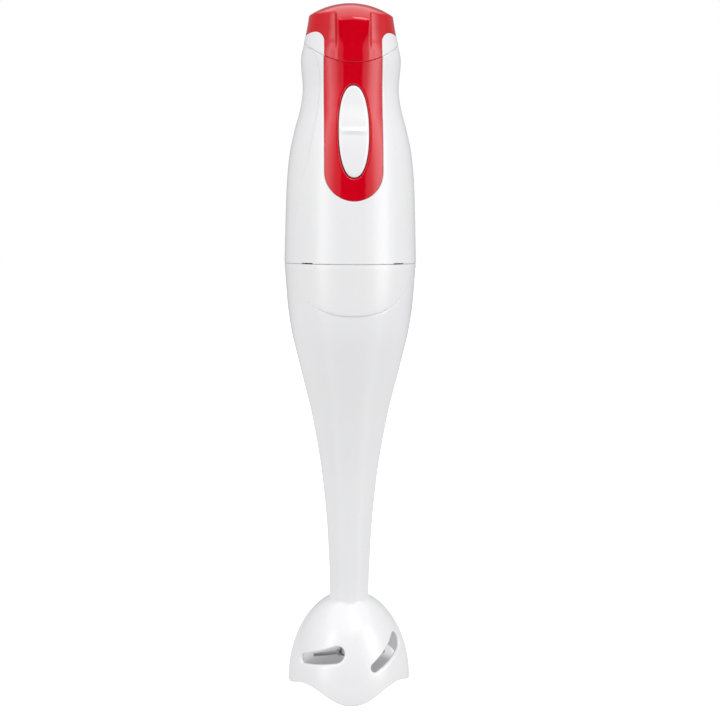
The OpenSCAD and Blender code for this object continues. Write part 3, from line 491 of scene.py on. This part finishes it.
def steps_from(start, radius):
    return [start] + [start + d for d in roll_steps(radius, 3)]


front_roll, rear_roll = 0.42, 0.3
front = handle_shell(
    "front_shell", front_edge, 190, lambda a, z: raise_mm, front_roll,
    [(panel_distance, steps_from(hair, front_roll)),
     (lambda a, z: -strip_distance(a, z), steps_from(hair, front_roll)),
     (lambda a, z: -cap_distance(a, z), steps_from(seam_half, front_roll)),
     (slit_distance, steps_from(0, front_roll)),
     (lambda a, z: z - joint_z - gap, roll_steps(front_roll, 3))],
    wall, span=(-95, 95))
rear = handle_shell(
    "rear_shell", rear_edge, 320, lambda a, z: 0, rear_roll,
    [(panel_distance, [-d for d in steps_from(hair, rear_roll)]),
     (lambda a, z: -cap_distance(a, z), steps_from(seam_half, rear_roll)),
     (slit_distance, steps_from(0, rear_roll)),
     (lambda a, z: z - joint_z - gap, roll_steps(rear_roll, 3))],
    wall)
for piece, node in ((front, "handle_front_shell"), (rear, "handle_rear_shell")):
    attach(piece, "handle")
    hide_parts(node)
    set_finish(piece, "white_shell")

# %% [markdown]
# ## Red strip and rocker button
# The strip is a separate gloss red moulding let into the front shell. The button hole is a long oval whose
# edge is rolled over wide enough to catch a bright line. The white button rocks on a pin across its middle,
# where a low lens-shaped rib tells the thumb which half it is on.

# %% Build the strip
button_gap, bevel_roll, strip_roll = 0.36, 0.95, 0.22


def strip_outline(a, z):
    """Distance inside the strip's outer outline."""
    return np.minimum(strip_distance(a, z) - hair, -cap_distance(a, z) - seam_half)


def strip_edge(a, z):
    """Distance inside the strip, button hole included."""
    return np.minimum(strip_outline(a, z), -oval_distance(a, z) - button_gap)


def strip_outer(a, z):
    depth = roll(strip_outline(a, z), strip_roll) + roll(-oval_distance(a, z) - button_gap, bevel_roll)
    return round_axis(handle_r(z) + raise_mm - depth, a, z)


grid = scored((-40, 40), 110, np.arange(mid_z - 33.5, mid_z + 42, 0.8),
              [(strip_distance, steps_from(hair, strip_roll)),
               (lambda a, z: -cap_distance(a, z), steps_from(seam_half, strip_roll)),
               (lambda a, z: -oval_distance(a, z), [button_gap + d for d in [0] + roll_steps(bevel_roll, 5)])],
              strip_edge)
strip = shell("button_strip", grid, strip_outer,
              lambda a, z: round_axis(handle_r(z) - wall - 1.2, a, z))
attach(strip, "handle")
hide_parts("button_bezel")
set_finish(strip, "red_trim")

# %% Build the button
button_proud, button_roll, button_edge_roll, rib_h, rib_half_w = 0.5, 1.5, 0.35, 0.85, 1.0
skirt_w, skirt_depth, button_skin, crown_share = 1.3, 4.0, 1.8, 0.45


def button_outer(a, z):
    x = front_x(a, z)
    lens = np.clip(1 - (x / (oval_a - 0.6)) ** 2, 0, 1) ** 0.5
    rib = rib_h * lens * np.exp(-((z - mid_z) / rib_half_w) ** 2)
    crown = crown_share * roll(oval_distance(a, z), button_roll)
    return round_axis(handle_r(z) + raise_mm + button_proud - crown
                      - roll(oval_distance(a, z), button_edge_roll) + rib, a, z)


def button_inner(a, z):
    thick = np.where(oval_distance(a, z) < skirt_w, skirt_depth, button_skin)
    return round_axis(handle_r(z) + raise_mm - thick, a, z)


grid = scored((-22, 22), 70, np.arange(mid_z - 23, mid_z + 23.2, 0.5),
              [(oval_distance, [0] + roll_steps(button_edge_roll, 3) + [skirt_w, skirt_w + 0.1, button_roll])],
              oval_distance)
button = shell("rocker_cap", grid, button_outer, button_inner)


# %% [markdown]
# Round parts are turned: a profile of radius and height is spun round its axis. Small radii are drawn into
# the profile itself, because a real edge always catches a thin line of light.

# %% Turned pieces
def turned(name, profile, centre, axis="z", around=96, sharp_angle=32):
    """A closed profile of (radius, height) in millimetres, spun round an axis through centre."""
    angles = np.linspace(0, 2 * math.pi, around, endpoint=False)
    verts, faces, n = [], [], len(profile)
    for t in angles:
        for r, h in profile:
            p = (r * math.cos(t), r * math.sin(t), h)
            verts.append(p if axis == "z" else (p[1], p[2], p[0]) if axis == "y" else (p[2], p[0], p[1]))
    for i in range(around):
        k = (i + 1) % around
        for j in range(n):
            m = (j + 1) % n
            faces.append([i * n + j, k * n + j, k * n + m, i * n + m])
    return finish_mesh(name, np.array(verts) + np.array(centre), faces, sharp_angle)


pin_y = (node_box("rocker_pin")[0][1] + node_box("rocker_pin")[1][1]) / 2
plunger_arm = 12
boss = turned("rocker_boss", [(1.06, -5), (2.2, -5), (2.4, -4.8), (2.4, 4.8), (2.2, 5), (1.06, 5)],
              (0, pin_y, mid_z), "x", 40)
for mid_offset, label in ((plunger_arm, "upper"), (-plunger_arm, "lower")):
    low, high = node_box(label + "_plunger")
    reach = float(handle_r(mid_z + mid_offset)) - 1.0
    tip = low[1] - 0.12
    profile = [(0, -reach), (1.5, -reach), (1.6, low[1] - 0.5), (1.4, tip), (0, tip)]
    finger = turned(label + "_finger", profile, (0, 0, mid_z + mid_offset), "y", 32)
    finger.parent = button
boss.parent = button
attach(button, "rocker")
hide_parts("rocker_button")
for piece in (button, *button.children):
    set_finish(piece, "white_shell")

# %% [markdown]
# ## Cap: red cover and white collar
# The cap closes the top of the handle. Its crown is part of a large ball, cut off crisply where it meets the
# round sides, and a brow as wide as two fingers runs straight up the front. These are three simple solids, so
# the skin is found by shooting rays from inside the cap and asking where the blended solids end. Smooth
# minimum and maximum stand for the fillet beside the brow and the small radius along the crown's edge.

# %% Skin of the cap
crown_ball_r, crown_back = 38.0, 3.0
ray_z = top_z - crown_ball_r
brow_half_w, brow_r, ray_turn = 7.9, 24.95, 38.0
crown_edge, brow_edge, brow_fillet = 0.35, 1.3, 0.9
brow_z0, brow_z1, brow_flat_r = 325.0, 336.0, 90.0
raise_top, raise_fade, front_ease, brow_side_edge = 336.0, 9.0, 0.3, 0.7
cover_h, collar_corner_r = 16, 5.5
cover_z = top_z - cover_h


def smooth_max(a, b, k):
    """The larger of two distances, with a fillet of size k where they meet."""
    h = np.clip(0.5 + 0.5 * (a - b) / k, 0, 1)
    return mix(b, a, h) + k * h * (1 - h)


def cap_solid(p):
    """Distance outside the blended solids of the cap."""
    x, y, z = p.T
    r = np.hypot(x, y)
    front_share = np.clip(-y / np.maximum(r, 1e-6) / front_ease, 0, 1)
    proud = raise_mm * front_share * np.clip((raise_top - z) / raise_fade, 0, 1)
    side = r - handle_r(z) - proud
    flat = np.clip((z - brow_z0) / (brow_z1 - brow_z0), 0, 1)
    brow_front = -y - (brow_r - x ** 2 / 2 * mix(1 / brow_r, 1 / brow_flat_r, flat))
    brow = smooth_max(np.abs(x) - brow_half_w, brow_front, brow_side_edge)
    brow = np.where(y < 0, brow, 99.0)
    body = -smooth_max(-side, -brow, brow_fillet)
    ball = np.sqrt(x ** 2 + (y - crown_back) ** 2 + (z - ray_z) ** 2) - crown_ball_r
    on_brow = np.clip(brow_half_w - 1 - np.abs(x), 0, 1) * (y < 0)
    return smooth_max(body, ball, mix(crown_edge, brow_edge, on_brow))


def cap_rays(a, v):
    """Rays through the cap: level below its ball's centre, and turning up to the pole above it."""
    up = np.clip((v - ray_z) / ray_turn, 0, math.pi / 2)
    start = np.stack([0 * v, 0 * v, np.minimum(v, ray_z)], axis=1)
    toward = np.stack([np.cos(up) * np.sin(a), -np.cos(up) * np.cos(a), np.sin(up)], axis=1)
    near, far = np.full(len(a), 5.0), np.full(len(a), 60.0)
    for _ in range(30):
        half = (near + far) / 2
        outside = cap_solid(start + toward * half[:, None]) > 0
        far = np.where(outside, half, far)
        near = np.where(outside, near, half)
    return start, toward, near


def cap_skin(a, v, depth=0.0):
    """Places on the cap's skin, or a depth below it."""
    start, toward, reach = cap_rays(a, v)
    return start + toward * (reach - depth)[:, None]


def on_cap(field):
    """Turns a field of positions into a distance along the cap's skin."""
    def measured(a, v):
        p, side, above = cap_skin(a, v), cap_skin(a + 2e-3, v), cap_skin(a, v + 0.08)
        value = field(p)
        across = (field(side) - value) / np.maximum(np.linalg.norm(side - p, axis=1), 1e-6)
        up = (field(above) - value) / np.maximum(np.linalg.norm(above - p, axis=1), 1e-6)
        return value / np.maximum(np.hypot(across, up), 0.05)
    return measured


def above_seam(p):
    return cap_seam_r - np.hypot(p[:, 0], np.minimum(p[:, 2] - cap_seam_mid, 0))


def in_red(p):
    """Positive in the red cover: above the collar, and down the front between its rounded corners."""
    beside = np.where(p[:, 1] < 0, np.abs(p[:, 0]) - strip_half_w, 99.0)
    below = cover_z - p[:, 2]
    return np.hypot(np.maximum(collar_corner_r - beside, 0),
                    np.maximum(collar_corner_r - below, 0)) - collar_corner_r


seam_distance, red_distance = on_cap(above_seam), on_cap(in_red)

# %% Build the cover and the collar
cap_roll = 0.22
cap_columns = 330
cap_rows = np.arange(ray_z + 5.0, ray_z + 59.2, 0.5)


def cap_part(name, sign):
    """The cover (sign +1) or the collar (sign -1): the cap's skin on one side of the colour line."""
    def edge(a, v):
        return np.minimum(seam_distance(a, v) - seam_half, sign * red_distance(a, v) - hair)

    bm = mandrel(0, 360, cap_columns, cap_rows)
    if sign > 0:
        top = sorted(bm.verts, key=lambda v: v.co.z)[-cap_columns:]
        bm.faces.new(sorted(top, key=lambda v: math.atan2(v.co.x, -v.co.y)))
    score(bm, seam_distance, *steps_from(seam_half, cap_roll))
    score(bm, lambda a, v: sign * red_distance(a, v), *steps_from(hair, cap_roll))
    peel(bm, edge)
    return shell(name, bm, lambda a, v: cap_skin(a, v, roll(edge(a, v), cap_roll)),
                 lambda a, v: cap_skin(a, v, wall + 0 * v))


cover = cap_part("cap_cover_moulding", 1)
collar = cap_part("collar_moulding", -1)
for piece, node, finish in ((cover, "cap_cover", "red_trim"), (collar, "cap_collar", "white_shell")):
    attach(piece, "handle")
    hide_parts(node)
    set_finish(piece, finish)

# %% [markdown]
# ## Cord inlet
# A soft rubber bushing lines the hole where the lead would enter at the back. Its flange is rounded and
# grooved so that it can flex with the lead.

# %% Build the bushing
low, high = node_box("cord_bushing")
face_y, back_y = high[1] - 1.8, high[1]
flange_r = (high[0] - low[0]) / 2
hole_r, body_r = 3.1, flange_r - 1.6
bushing = turned("rubber_bushing", [
    (hole_r, low[1]), (flange_r - 0.2, low[1]), (flange_r, low[1] + 0.2), (flange_r, low[1] + 1.3),
    (flange_r - 0.2, low[1] + 1.5), (body_r, low[1] + 1.5), (body_r, face_y), (flange_r - 0.1, face_y),
    (flange_r, face_y + 0.1), (flange_r, back_y - 0.7), (flange_r - 0.25, back_y - 0.2),
    (flange_r - 0.7, back_y), (flange_r - 1.1, back_y - 0.02), (flange_r - 1.3, back_y - 0.35),
    (flange_r - 1.5, back_y - 0.02), (hole_r + 0.5, back_y), (hole_r + 0.12, back_y - 0.15),
    (hole_r, back_y - 0.5)], (0, 0, (low[2] + high[2]) / 2), "y")
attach(bushing, "handle")
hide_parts("cord_bushing")
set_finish(bushing, "rubber")

# %% [markdown]
# ## Blade
# The blade is stamped from stainless strip, bent one wing up and one down, and ground sharp along its leading
# edges. It is lofted: one five-sided section with a ground bevel, swept out along both wings.

# %% Build the blade
blade_z, blade_t, keen_level = 13.0, 1.2, -0.38
root_x, tip_x, eye_r, half_w, grind, tip_r = 6.0, 19.4, 6.5, 3.5, 2.0, 1.3
bend, pitch = math.radians(4), math.radians(-17)


def blade_section(side, reach):
    """Corners of the blade's section, at a distance out along one wing: ground front edge first."""
    past = max(reach - root_x, 0)
    share = past / (tip_x - root_x)
    lead, trail = half_w * (1 - 0.35 * share ** 2), half_w * (1 - 0.1 * share)
    if reach < eye_r:
        lead = trail = max(half_w, math.sqrt(eye_r ** 2 - reach ** 2))
    end = max(reach - tip_x + tip_r, 0)
    trim = tip_r - math.sqrt(max(tip_r ** 2 - end ** 2, 0))
    lead, trail = lead - trim, trail - trim
    turn = pitch * min(max(reach - eye_r + 1.2, 0) / 1.8, 1)
    ground = grind if reach > eye_r else 0.1
    corners = []
    # Levels are shares of the thickness, from the middle of the strip
    for across, level in ((-lead, keen_level), (-lead + ground, 0.5), (trail, 0.5), (trail, -0.5),
                          (-lead + 0.4, -0.5)):
        up = level * blade_t
        y = across * math.cos(turn) + up * math.sin(turn)
        z = -across * math.sin(turn) + up * math.cos(turn)
        corners.append((side * (min(reach, root_x) + past * math.cos(bend)), side * y,
                        blade_z + blade_t / 2 + z + side * past * math.sin(bend)))
    return corners


reaches = sorted({round(float(v), 3) for v in np.concatenate(
    [np.linspace(0.4, tip_x, 42), [root_x, eye_r, eye_r - 1.2, eye_r + 0.6, tip_x - 0.1, tip_x - 0.03]])})
stations = [(-1, v) for v in reversed(reaches)] + [(1, v) for v in reaches]
ring_n = 5
verts, faces = [], []
for side, reach in stations:
    corners = blade_section(side, reach)
    # The wing on the left runs the other way round, so its corners are matched across the middle
    verts += corners if side > 0 else [corners[i] for i in (2, 1, 0, 4, 3)]
for i in range(len(stations) - 1):
    for j in range(ring_n):
        m = (j + 1) % ring_n
        faces.append([i * ring_n + j, i * ring_n + m, (i + 1) * ring_n + m, (i + 1) * ring_n + j])
faces += [list(range(ring_n))[::-1], [(len(stations) - 1) * ring_n + j for j in range(ring_n)]]
blade = finish_mesh("ground_blade", verts, faces, 18)
bm = bmesh.new()
bm.from_mesh(blade.data)
bmesh.ops.recalc_face_normals(bm, faces=bm.faces)
bm.to_mesh(blade.data)
bm.free()
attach(blade, "drive")
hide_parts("blade")
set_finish(blade, "stainless")

# %% [markdown]
# ## Finishes
# Every finish is a node material. Colours are given as hex values and turned to linear once. Patterns use the
# object's own coordinates in metres, so their scale is a real size.

# %% Colour and nodes
def linear(hex_colour):
    """An sRGB hex colour as linear RGBA."""
    parts = [int(hex_colour[i:i + 2], 16) / 255 for i in (1, 3, 5)]
    return (*[p / 12.92 if p <= 0.04045 else ((p + 0.055) / 1.055) ** 2.4 for p in parts], 1.0)


def add(tree, kind, settings=None, inputs=None):
    """Adds one node with its own settings, and its inputs as values or links."""
    made = tree.nodes.new(kind)
    for key, value in (settings or {}).items():
        setattr(made, key, value)
    for key, value in (inputs or {}).items():
        if isinstance(value, bpy.types.NodeSocket):
            tree.links.new(value, made.inputs[key])
        else:
            made.inputs[key].default_value = value
    return made


def moulding(name, light, dark, grain_mm, rough, bump_mm, ior=1.5, metallic=0.0, stretch=(1, 1, 1),
             specular=0.5, coat=0.0, wave_mm=None):
    """A finish whose colour drifts between two shades, with a grain that also moves roughness and bump.
    wave_mm adds fine parallel lines along Z, for stacked or wound parts."""
    material = bpy.data.materials.new(name)
    material.use_nodes = True
    tree = material.node_tree
    shader = tree.nodes["Principled BSDF"]
    shader.inputs["IOR"].default_value = ior
    shader.inputs["Metallic"].default_value = metallic
    shader.inputs["Specular IOR Level"].default_value = specular
    shader.inputs["Coat Weight"].default_value = coat
    shader.inputs["Coat Roughness"].default_value = 0.05
    where = add(tree, "ShaderNodeTexCoord")
    spread = add(tree, "ShaderNodeMapping", None, {"Vector": where.outputs["Object"], "Scale": stretch})
    grain = add(tree, "ShaderNodeTexNoise", None,
                {"Vector": spread.outputs[0], "Scale": 1000 / grain_mm, "Detail": 3.0, "Roughness": 0.55})
    drift = add(tree, "ShaderNodeTexNoise", None,
                {"Vector": where.outputs["Object"], "Scale": 1000 / 45, "Detail": 1.0})
    level = grain.outputs[0]
    if wave_mm:
        lines = add(tree, "ShaderNodeTexWave", {"bands_direction": "Z"},
                    {"Vector": where.outputs["Object"], "Scale": 1000 / (20 * wave_mm) * 6.2832 / 2,
                     "Distortion": 0.4, "Detail Scale": 4.0})
        level = lines.outputs[1]
    slow = add(tree, "ShaderNodeMath", {"operation": "MULTIPLY"}, {0: drift.outputs[0], 1: 0.7})
    fine = add(tree, "ShaderNodeMath", {"operation": "MULTIPLY"}, {0: level, 1: 0.3})
    share = add(tree, "ShaderNodeMath", {"operation": "ADD", "use_clamp": True},
                {0: slow.outputs[0], 1: fine.outputs[0]})
    colours = add(tree, "ShaderNodeValToRGB", None, {"Fac": level if wave_mm else share.outputs[0]})
    colours.color_ramp.elements[0].position, colours.color_ramp.elements[1].position = 0.3, 0.7
    colours.color_ramp.elements[0].color, colours.color_ramp.elements[1].color = linear(dark), linear(light)
    tree.links.new(colours.outputs[0], shader.inputs["Base Color"])
    gloss = add(tree, "ShaderNodeMapRange", None,
                {"Value": grain.outputs[0], "From Min": 0.3, "From Max": 0.7,
                 "To Min": rough[0], "To Max": rough[1]})
    tree.links.new(gloss.outputs[0], shader.inputs["Roughness"])
    relief = add(tree, "ShaderNodeBump", None, {"Height": level, "Distance": bump_mm * MM, "Strength": 1.0})
    tree.links.new(relief.outputs[0], shader.inputs["Normal"])
    return material


# %% [markdown]
# The shells are ABS injected into a polished mould: bright, glossy, with the faint orange peel of a part that
# shrank as it cooled. Inner parts are unpolished nylon, satin and a little warm. Metals keep the default IOR.

# %% Make the finishes
FINISHES = {
    "white_shell": moulding("moulded_gloss_white_abs", "#EBEBEC", "#E8E8EA", 2.2, (0.14, 0.22), 0.0012, 1.53),
    "red_trim": moulding("moulded_gloss_red_abs", "#D2001C", "#C80018", 2.2, (0.05, 0.1), 0.0008, 1.53),
    "inner_plastic": moulding("moulded_satin_nylon", "#C9C8C2", "#BDBCB5", 0.8, (0.42, 0.58), 0.01, 1.53),
    "dark_plastic": moulding("moulded_black_nylon", "#242426", "#1B1B1D", 0.8, (0.4, 0.55), 0.01, 1.53),
    "board": moulding("glass_epoxy_board", "#2C6B3F", "#245A35", 0.5, (0.28, 0.42), 0.006, 1.55),
    "capacitor": moulding("dipped_yellow_capacitor", "#D9B13A", "#C99F2E", 1.5, (0.2, 0.34), 0.01, 1.5),
    "rubber": moulding("moulded_black_rubber", "#1E1E20", "#161618", 0.6, (0.55, 0.75), 0.012, 1.52),
    "steel": moulding("turned_zinc_plated_steel", "#BFC2C6", "#A9ACB1", 0.35, (0.22, 0.36), 0.002,
                      metallic=1.0, stretch=(1, 1, 6)),
    "stainless": moulding("stamped_stainless_steel", "#C6C6C8", "#AFAFB2", 0.3, (0.2, 0.34), 0.0015,
                          metallic=1.0, stretch=(6, 1, 1)),
    "lamination": moulding("stacked_silicon_steel", "#777B80", "#54575C", 0.8, (0.35, 0.5), 0.03,
                           metallic=1.0, wave_mm=0.9),
    "copper": moulding("enamelled_copper_winding", "#B8683A", "#8E4A26", 0.6, (0.2, 0.32), 0.05,
                       metallic=1.0, wave_mm=0.8),
    "brass": moulding("sintered_bronze", "#B08B4C", "#8F6F39", 0.25, (0.4, 0.6), 0.01, metallic=1.0),
    "carbon": moulding("pressed_carbon_graphite", "#2B2B2D", "#1C1C1E", 0.4, (0.45, 0.65), 0.01, 1.6),
}
slot_of = {s["node"]: s["material_slot"] for s in frame["record"]["subparts"]}
for name, obj in nodes.items():
    finish = FINISHES[slot_of[name]]
    if not obj.material_slots:
        obj.data.materials.append(finish)
    for entry in obj.material_slots:
        entry.material = finish
made = [foot, front, rear, strip, button, *button.children, cover, collar, bushing, blade]
for piece in made:
    piece.data.materials.clear()
    piece.data.materials.append(FINISHES[piece["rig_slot"]])
print("finishes", len(FINISHES), "pieces", len(made))

# %% [markdown]
# ## Camera, floor and light
# A product like this stands on a white sweep in a light tent. The tent has two tall soft panels at the sides
# of the camera, one overhead, and an unlit gap straight ahead, which a gloss red strip mirrors as a deep
# band between two pale ones. The tent is drawn as a sphere that only reflections see. Matt surfaces are lit
# by the white world and two large soft lamps, and a white backdrop stands behind everything.

# %% Camera
camera_at = Vector((-24.4, -450.7, 238.1)) * MM
down, yaw, lean = math.radians(8.1), math.radians(3.76), math.radians(0.27)
camera_data = bpy.data.cameras.new("studio_camera")
camera_data.lens, camera_data.sensor_width = 44.0, 36.0
camera_data.clip_start, camera_data.clip_end = 0.01, 50
camera = bpy.data.objects.new("studio_camera", camera_data)
forward = Vector((math.sin(yaw) * math.cos(down), math.cos(yaw) * math.cos(down), -math.sin(down)))
aim = forward.to_track_quat("-Z", "Y")
camera.rotation_euler = (aim.to_matrix() @ Matrix.Rotation(lean, 3, "Z")).to_euler()
camera.location = camera_at
bpy.context.scene.collection.objects.link(camera)
bpy.context.scene.camera = camera

# %% World and floor
scene = bpy.context.scene
scene.view_settings.view_transform = "Standard"
world = bpy.data.worlds.new("white_tent")
world.use_nodes = True
world.node_tree.nodes["Background"].inputs[0].default_value = (1, 1, 1, 1)
world.node_tree.nodes["Background"].inputs[1].default_value = 0.68
scene.world = world


def staged(name, mesh):
    """An object of the stage, which isn't part of the blender."""
    piece = bpy.data.objects.new(name, mesh)
    scene.collection.objects.link(piece)
    return piece


floor_half = 6.0
corners = [(x * floor_half, y * floor_half, 0) for x, y in ((-1, -1), (1, -1), (1, 1), (-1, 1))]
floor_mesh = bpy.data.meshes.new("white_floor")
floor_mesh.from_pydata(corners, [], [[0, 1, 2, 3]])
floor = staged("white_floor", floor_mesh)
paper = bpy.data.materials.new("matt_white_paper")
paper.use_nodes = True
tree = paper.node_tree
shader = tree.nodes["Principled BSDF"]
place = add(tree, "ShaderNodeTexCoord")
fibre = add(tree, "ShaderNodeTexNoise", None,
            {"Vector": place.outputs["Object"], "Scale": 900.0, "Detail": 2.0})
tone = add(tree, "ShaderNodeValToRGB", None, {"Fac": fibre.outputs[0]})
tone.color_ramp.elements[0].color, tone.color_ramp.elements[1].color = linear("#E9E9EA"), linear("#EDEDED")
tree.links.new(tone.outputs[0], shader.inputs["Base Color"])
tree.links.new(tone.outputs[0], shader.inputs["Emission Color"])
shader.inputs["Roughness"].default_value = 0.9
shader.inputs["Specular IOR Level"].default_value = 0.0
# The sweep glows evenly and hides every shadow, apart from an oval under the bell and just behind it where the
# glow is withheld: painted shade, whose extent is set by the oval, though the shading inside it is real
near = add(tree, "ShaderNodeSeparateXYZ", None, {0: place.outputs["Object"]})
oval = add(tree, "ShaderNodeMapping", {"vector_type": "TEXTURE"},
           {0: place.outputs["Object"], "Location": (0, 0.025, 0), "Scale": (0.03, 0.045, 1)})
painted_shade_spot = add(tree, "ShaderNodeVectorMath", {"operation": "LENGTH"}, {0: oval.outputs[0]})
sweep_glow = 0.9
glow_outside_painted_shade = add(tree, "ShaderNodeMapRange", None,
          {"Value": painted_shade_spot.outputs["Value"], "From Min": 0.85, "From Max": 1.1, "To Min": 0.0, "To Max": sweep_glow})
# In front of the bell the sweep keeps its full glow, so the painted shade stays under and behind it
ahead = add(tree, "ShaderNodeMapRange", None,
            {"Value": near.outputs["Y"], "From Min": 0.0, "From Max": -0.006, "To Min": 0.0, "To Max": sweep_glow})
glow = add(tree, "ShaderNodeMath", {"operation": "MAXIMUM"}, {0: glow_outside_painted_shade.outputs[0], 1: ahead.outputs[0]})
tree.links.new(glow.outputs[0], shader.inputs["Emission Strength"])
floor.data.materials.append(paper)
floor.visible_diffuse = floor.visible_glossy = False

# %% Backdrop and reflected tent
def stage_ball(name, radius):
    """A large ball that lights nothing directly: the eye or the reflections see its inside."""
    bm = bmesh.new()
    bmesh.ops.create_uvsphere(bm, u_segments=64, v_segments=32, radius=radius)
    mesh = bpy.data.meshes.new(name)
    bm.to_mesh(mesh)
    bm.free()
    ball = staged(name, mesh)
    ball.visible_diffuse = ball.visible_shadow = ball.visible_transmission = False
    return ball


def glowing(name, ball):
    """A material that only glows, with its node tree cleared for the caller."""
    material = bpy.data.materials.new(name)
    material.use_nodes = True
    material.cycles.emission_sampling = "NONE"
    material.node_tree.nodes.remove(material.node_tree.nodes["Principled BSDF"])
    ball.data.materials.append(material)
    return material.node_tree


backdrop = stage_ball("white_backdrop", 9.0)
backdrop.visible_glossy = False
tree = glowing("lit_white_backdrop", backdrop)
glow = add(tree, "ShaderNodeEmission", None, {"Strength": 1.0})
tree.links.new(glow.outputs[0], tree.nodes["Material Output"].inputs["Surface"])
tent = stage_ball("tent", 3.0)
tent.visible_camera = False
tree = glowing("lit_tent_cloth", tent)
where = add(tree, "ShaderNodeTexCoord")
unit = add(tree, "ShaderNodeVectorMath", {"operation": "NORMALIZE"}, {0: where.outputs["Object"]})
axes = add(tree, "ShaderNodeSeparateXYZ", None, {0: unit.outputs[0]})
back = add(tree, "ShaderNodeMath", {"operation": "MULTIPLY"}, {0: axes.outputs[1], 1: -1.0})
turn = add(tree, "ShaderNodeMath", {"operation": "ARCTAN2"}, {0: axes.outputs[0], 1: back.outputs[0]})
lift = add(tree, "ShaderNodeMath", {"operation": "ARCSINE"}, {0: axes.outputs[2]})


def brightness(angle_socket, stops, low, high):
    """A ramp of grey levels over an angle, from [degrees, level] stops."""
    share = add(tree, "ShaderNodeMapRange", None, {"Value": angle_socket, "From Min": math.radians(low),
                                                   "From Max": math.radians(high)})
    ramp = add(tree, "ShaderNodeValToRGB", None, {"Fac": share.outputs[0]})
    while len(ramp.color_ramp.elements) < len(stops):
        ramp.color_ramp.elements.new(0.5)
    for element, (angle, _) in zip(ramp.color_ramp.elements, stops):
        element.position = (angle - low) / (high - low)
    for element, (_, level) in zip(ramp.color_ramp.elements, stops):
        element.color = (level, level, level, 1)
    return ramp.outputs[0]


# Azimuths are counted from the camera's side: a tall panel at each side, and the unlit gap between them
tent_scale = 5.0
round_stops = [(-180, 0.06), (-110, 0.06), (-85, 0.1), (-66, 0.14), (-52, 0.6), (-40, 0.35), (-30, 0.12),
               (-20.4, 0.08), (-19.4, 0.0), (22.4, 0.0), (23.4, 0.1), (34, 0.2), (45, 0.6), (57, 0.8),
               (70, 0.35), (80, 0.15), (110, 0.06), (180, 0.06)]
round_light = brightness(turn.outputs[0], round_stops, -180, 180)
top_share = brightness(lift.outputs[0], [(-90, 0), (43, 0), (48, 1), (90, 1)], -90, 90)
low_share = brightness(lift.outputs[0], [(-90, 0.8), (-12, 0.8), (-3, 0), (90, 0)], -90, 90)
below = add(tree, "ShaderNodeMix", {"data_type": "RGBA"},
            {0: low_share, 6: round_light, 7: (0.16, 0.16, 0.16, 1)})
blend = add(tree, "ShaderNodeMix", {"data_type": "RGBA"},
            {0: top_share, 6: below.outputs[2], 7: (0.24, 0.24, 0.24, 1)})
# A small bright window overhead, right of the camera, lights the edges of the crown
window_round = brightness(turn.outputs[0],
                          [(-180, 0), (6, 0), (8, 1), (46, 1), (48, 0), (180, 0)], -180, 180)
window_lift = brightness(lift.outputs[0],
                         [(-90, 0), (53, 0), (54, 1), (78, 1), (79, 0), (90, 0)], -90, 90)
window = add(tree, "ShaderNodeMath", {"operation": "MULTIPLY"}, {0: window_round, 1: window_lift})
lamp = add(tree, "ShaderNodeMix", {"data_type": "RGBA"},
           {0: window.outputs[0], 6: blend.outputs[2], 7: (1.0, 1.0, 1.0, 1)})
glow = add(tree, "ShaderNodeEmission", None, {"Color": lamp.outputs[2], "Strength": tent_scale})
tree.links.new(glow.outputs[0], tree.nodes["Material Output"].inputs["Surface"])

# %% Soft key lights
for name, place, watts in (("soft_key", (1.1, -0.85, 1.2), 13.5), ("soft_fill", (-1.25, -0.7, 0.9), 9.5)):
    lamp_data = bpy.data.lights.new(name, "AREA")
    lamp_data.shape, lamp_data.size, lamp_data.size_y, lamp_data.energy = "RECTANGLE", 0.9, 1.2, watts
    lamp = bpy.data.objects.new(name, lamp_data)
    lamp.location = place
    lamp.rotation_euler = (Vector((0, 0, 0.18)) - Vector(place)).to_track_quat("-Z", "Y").to_euler()
    lamp.visible_glossy = lamp.visible_camera = False
    scene.collection.objects.link(lamp)
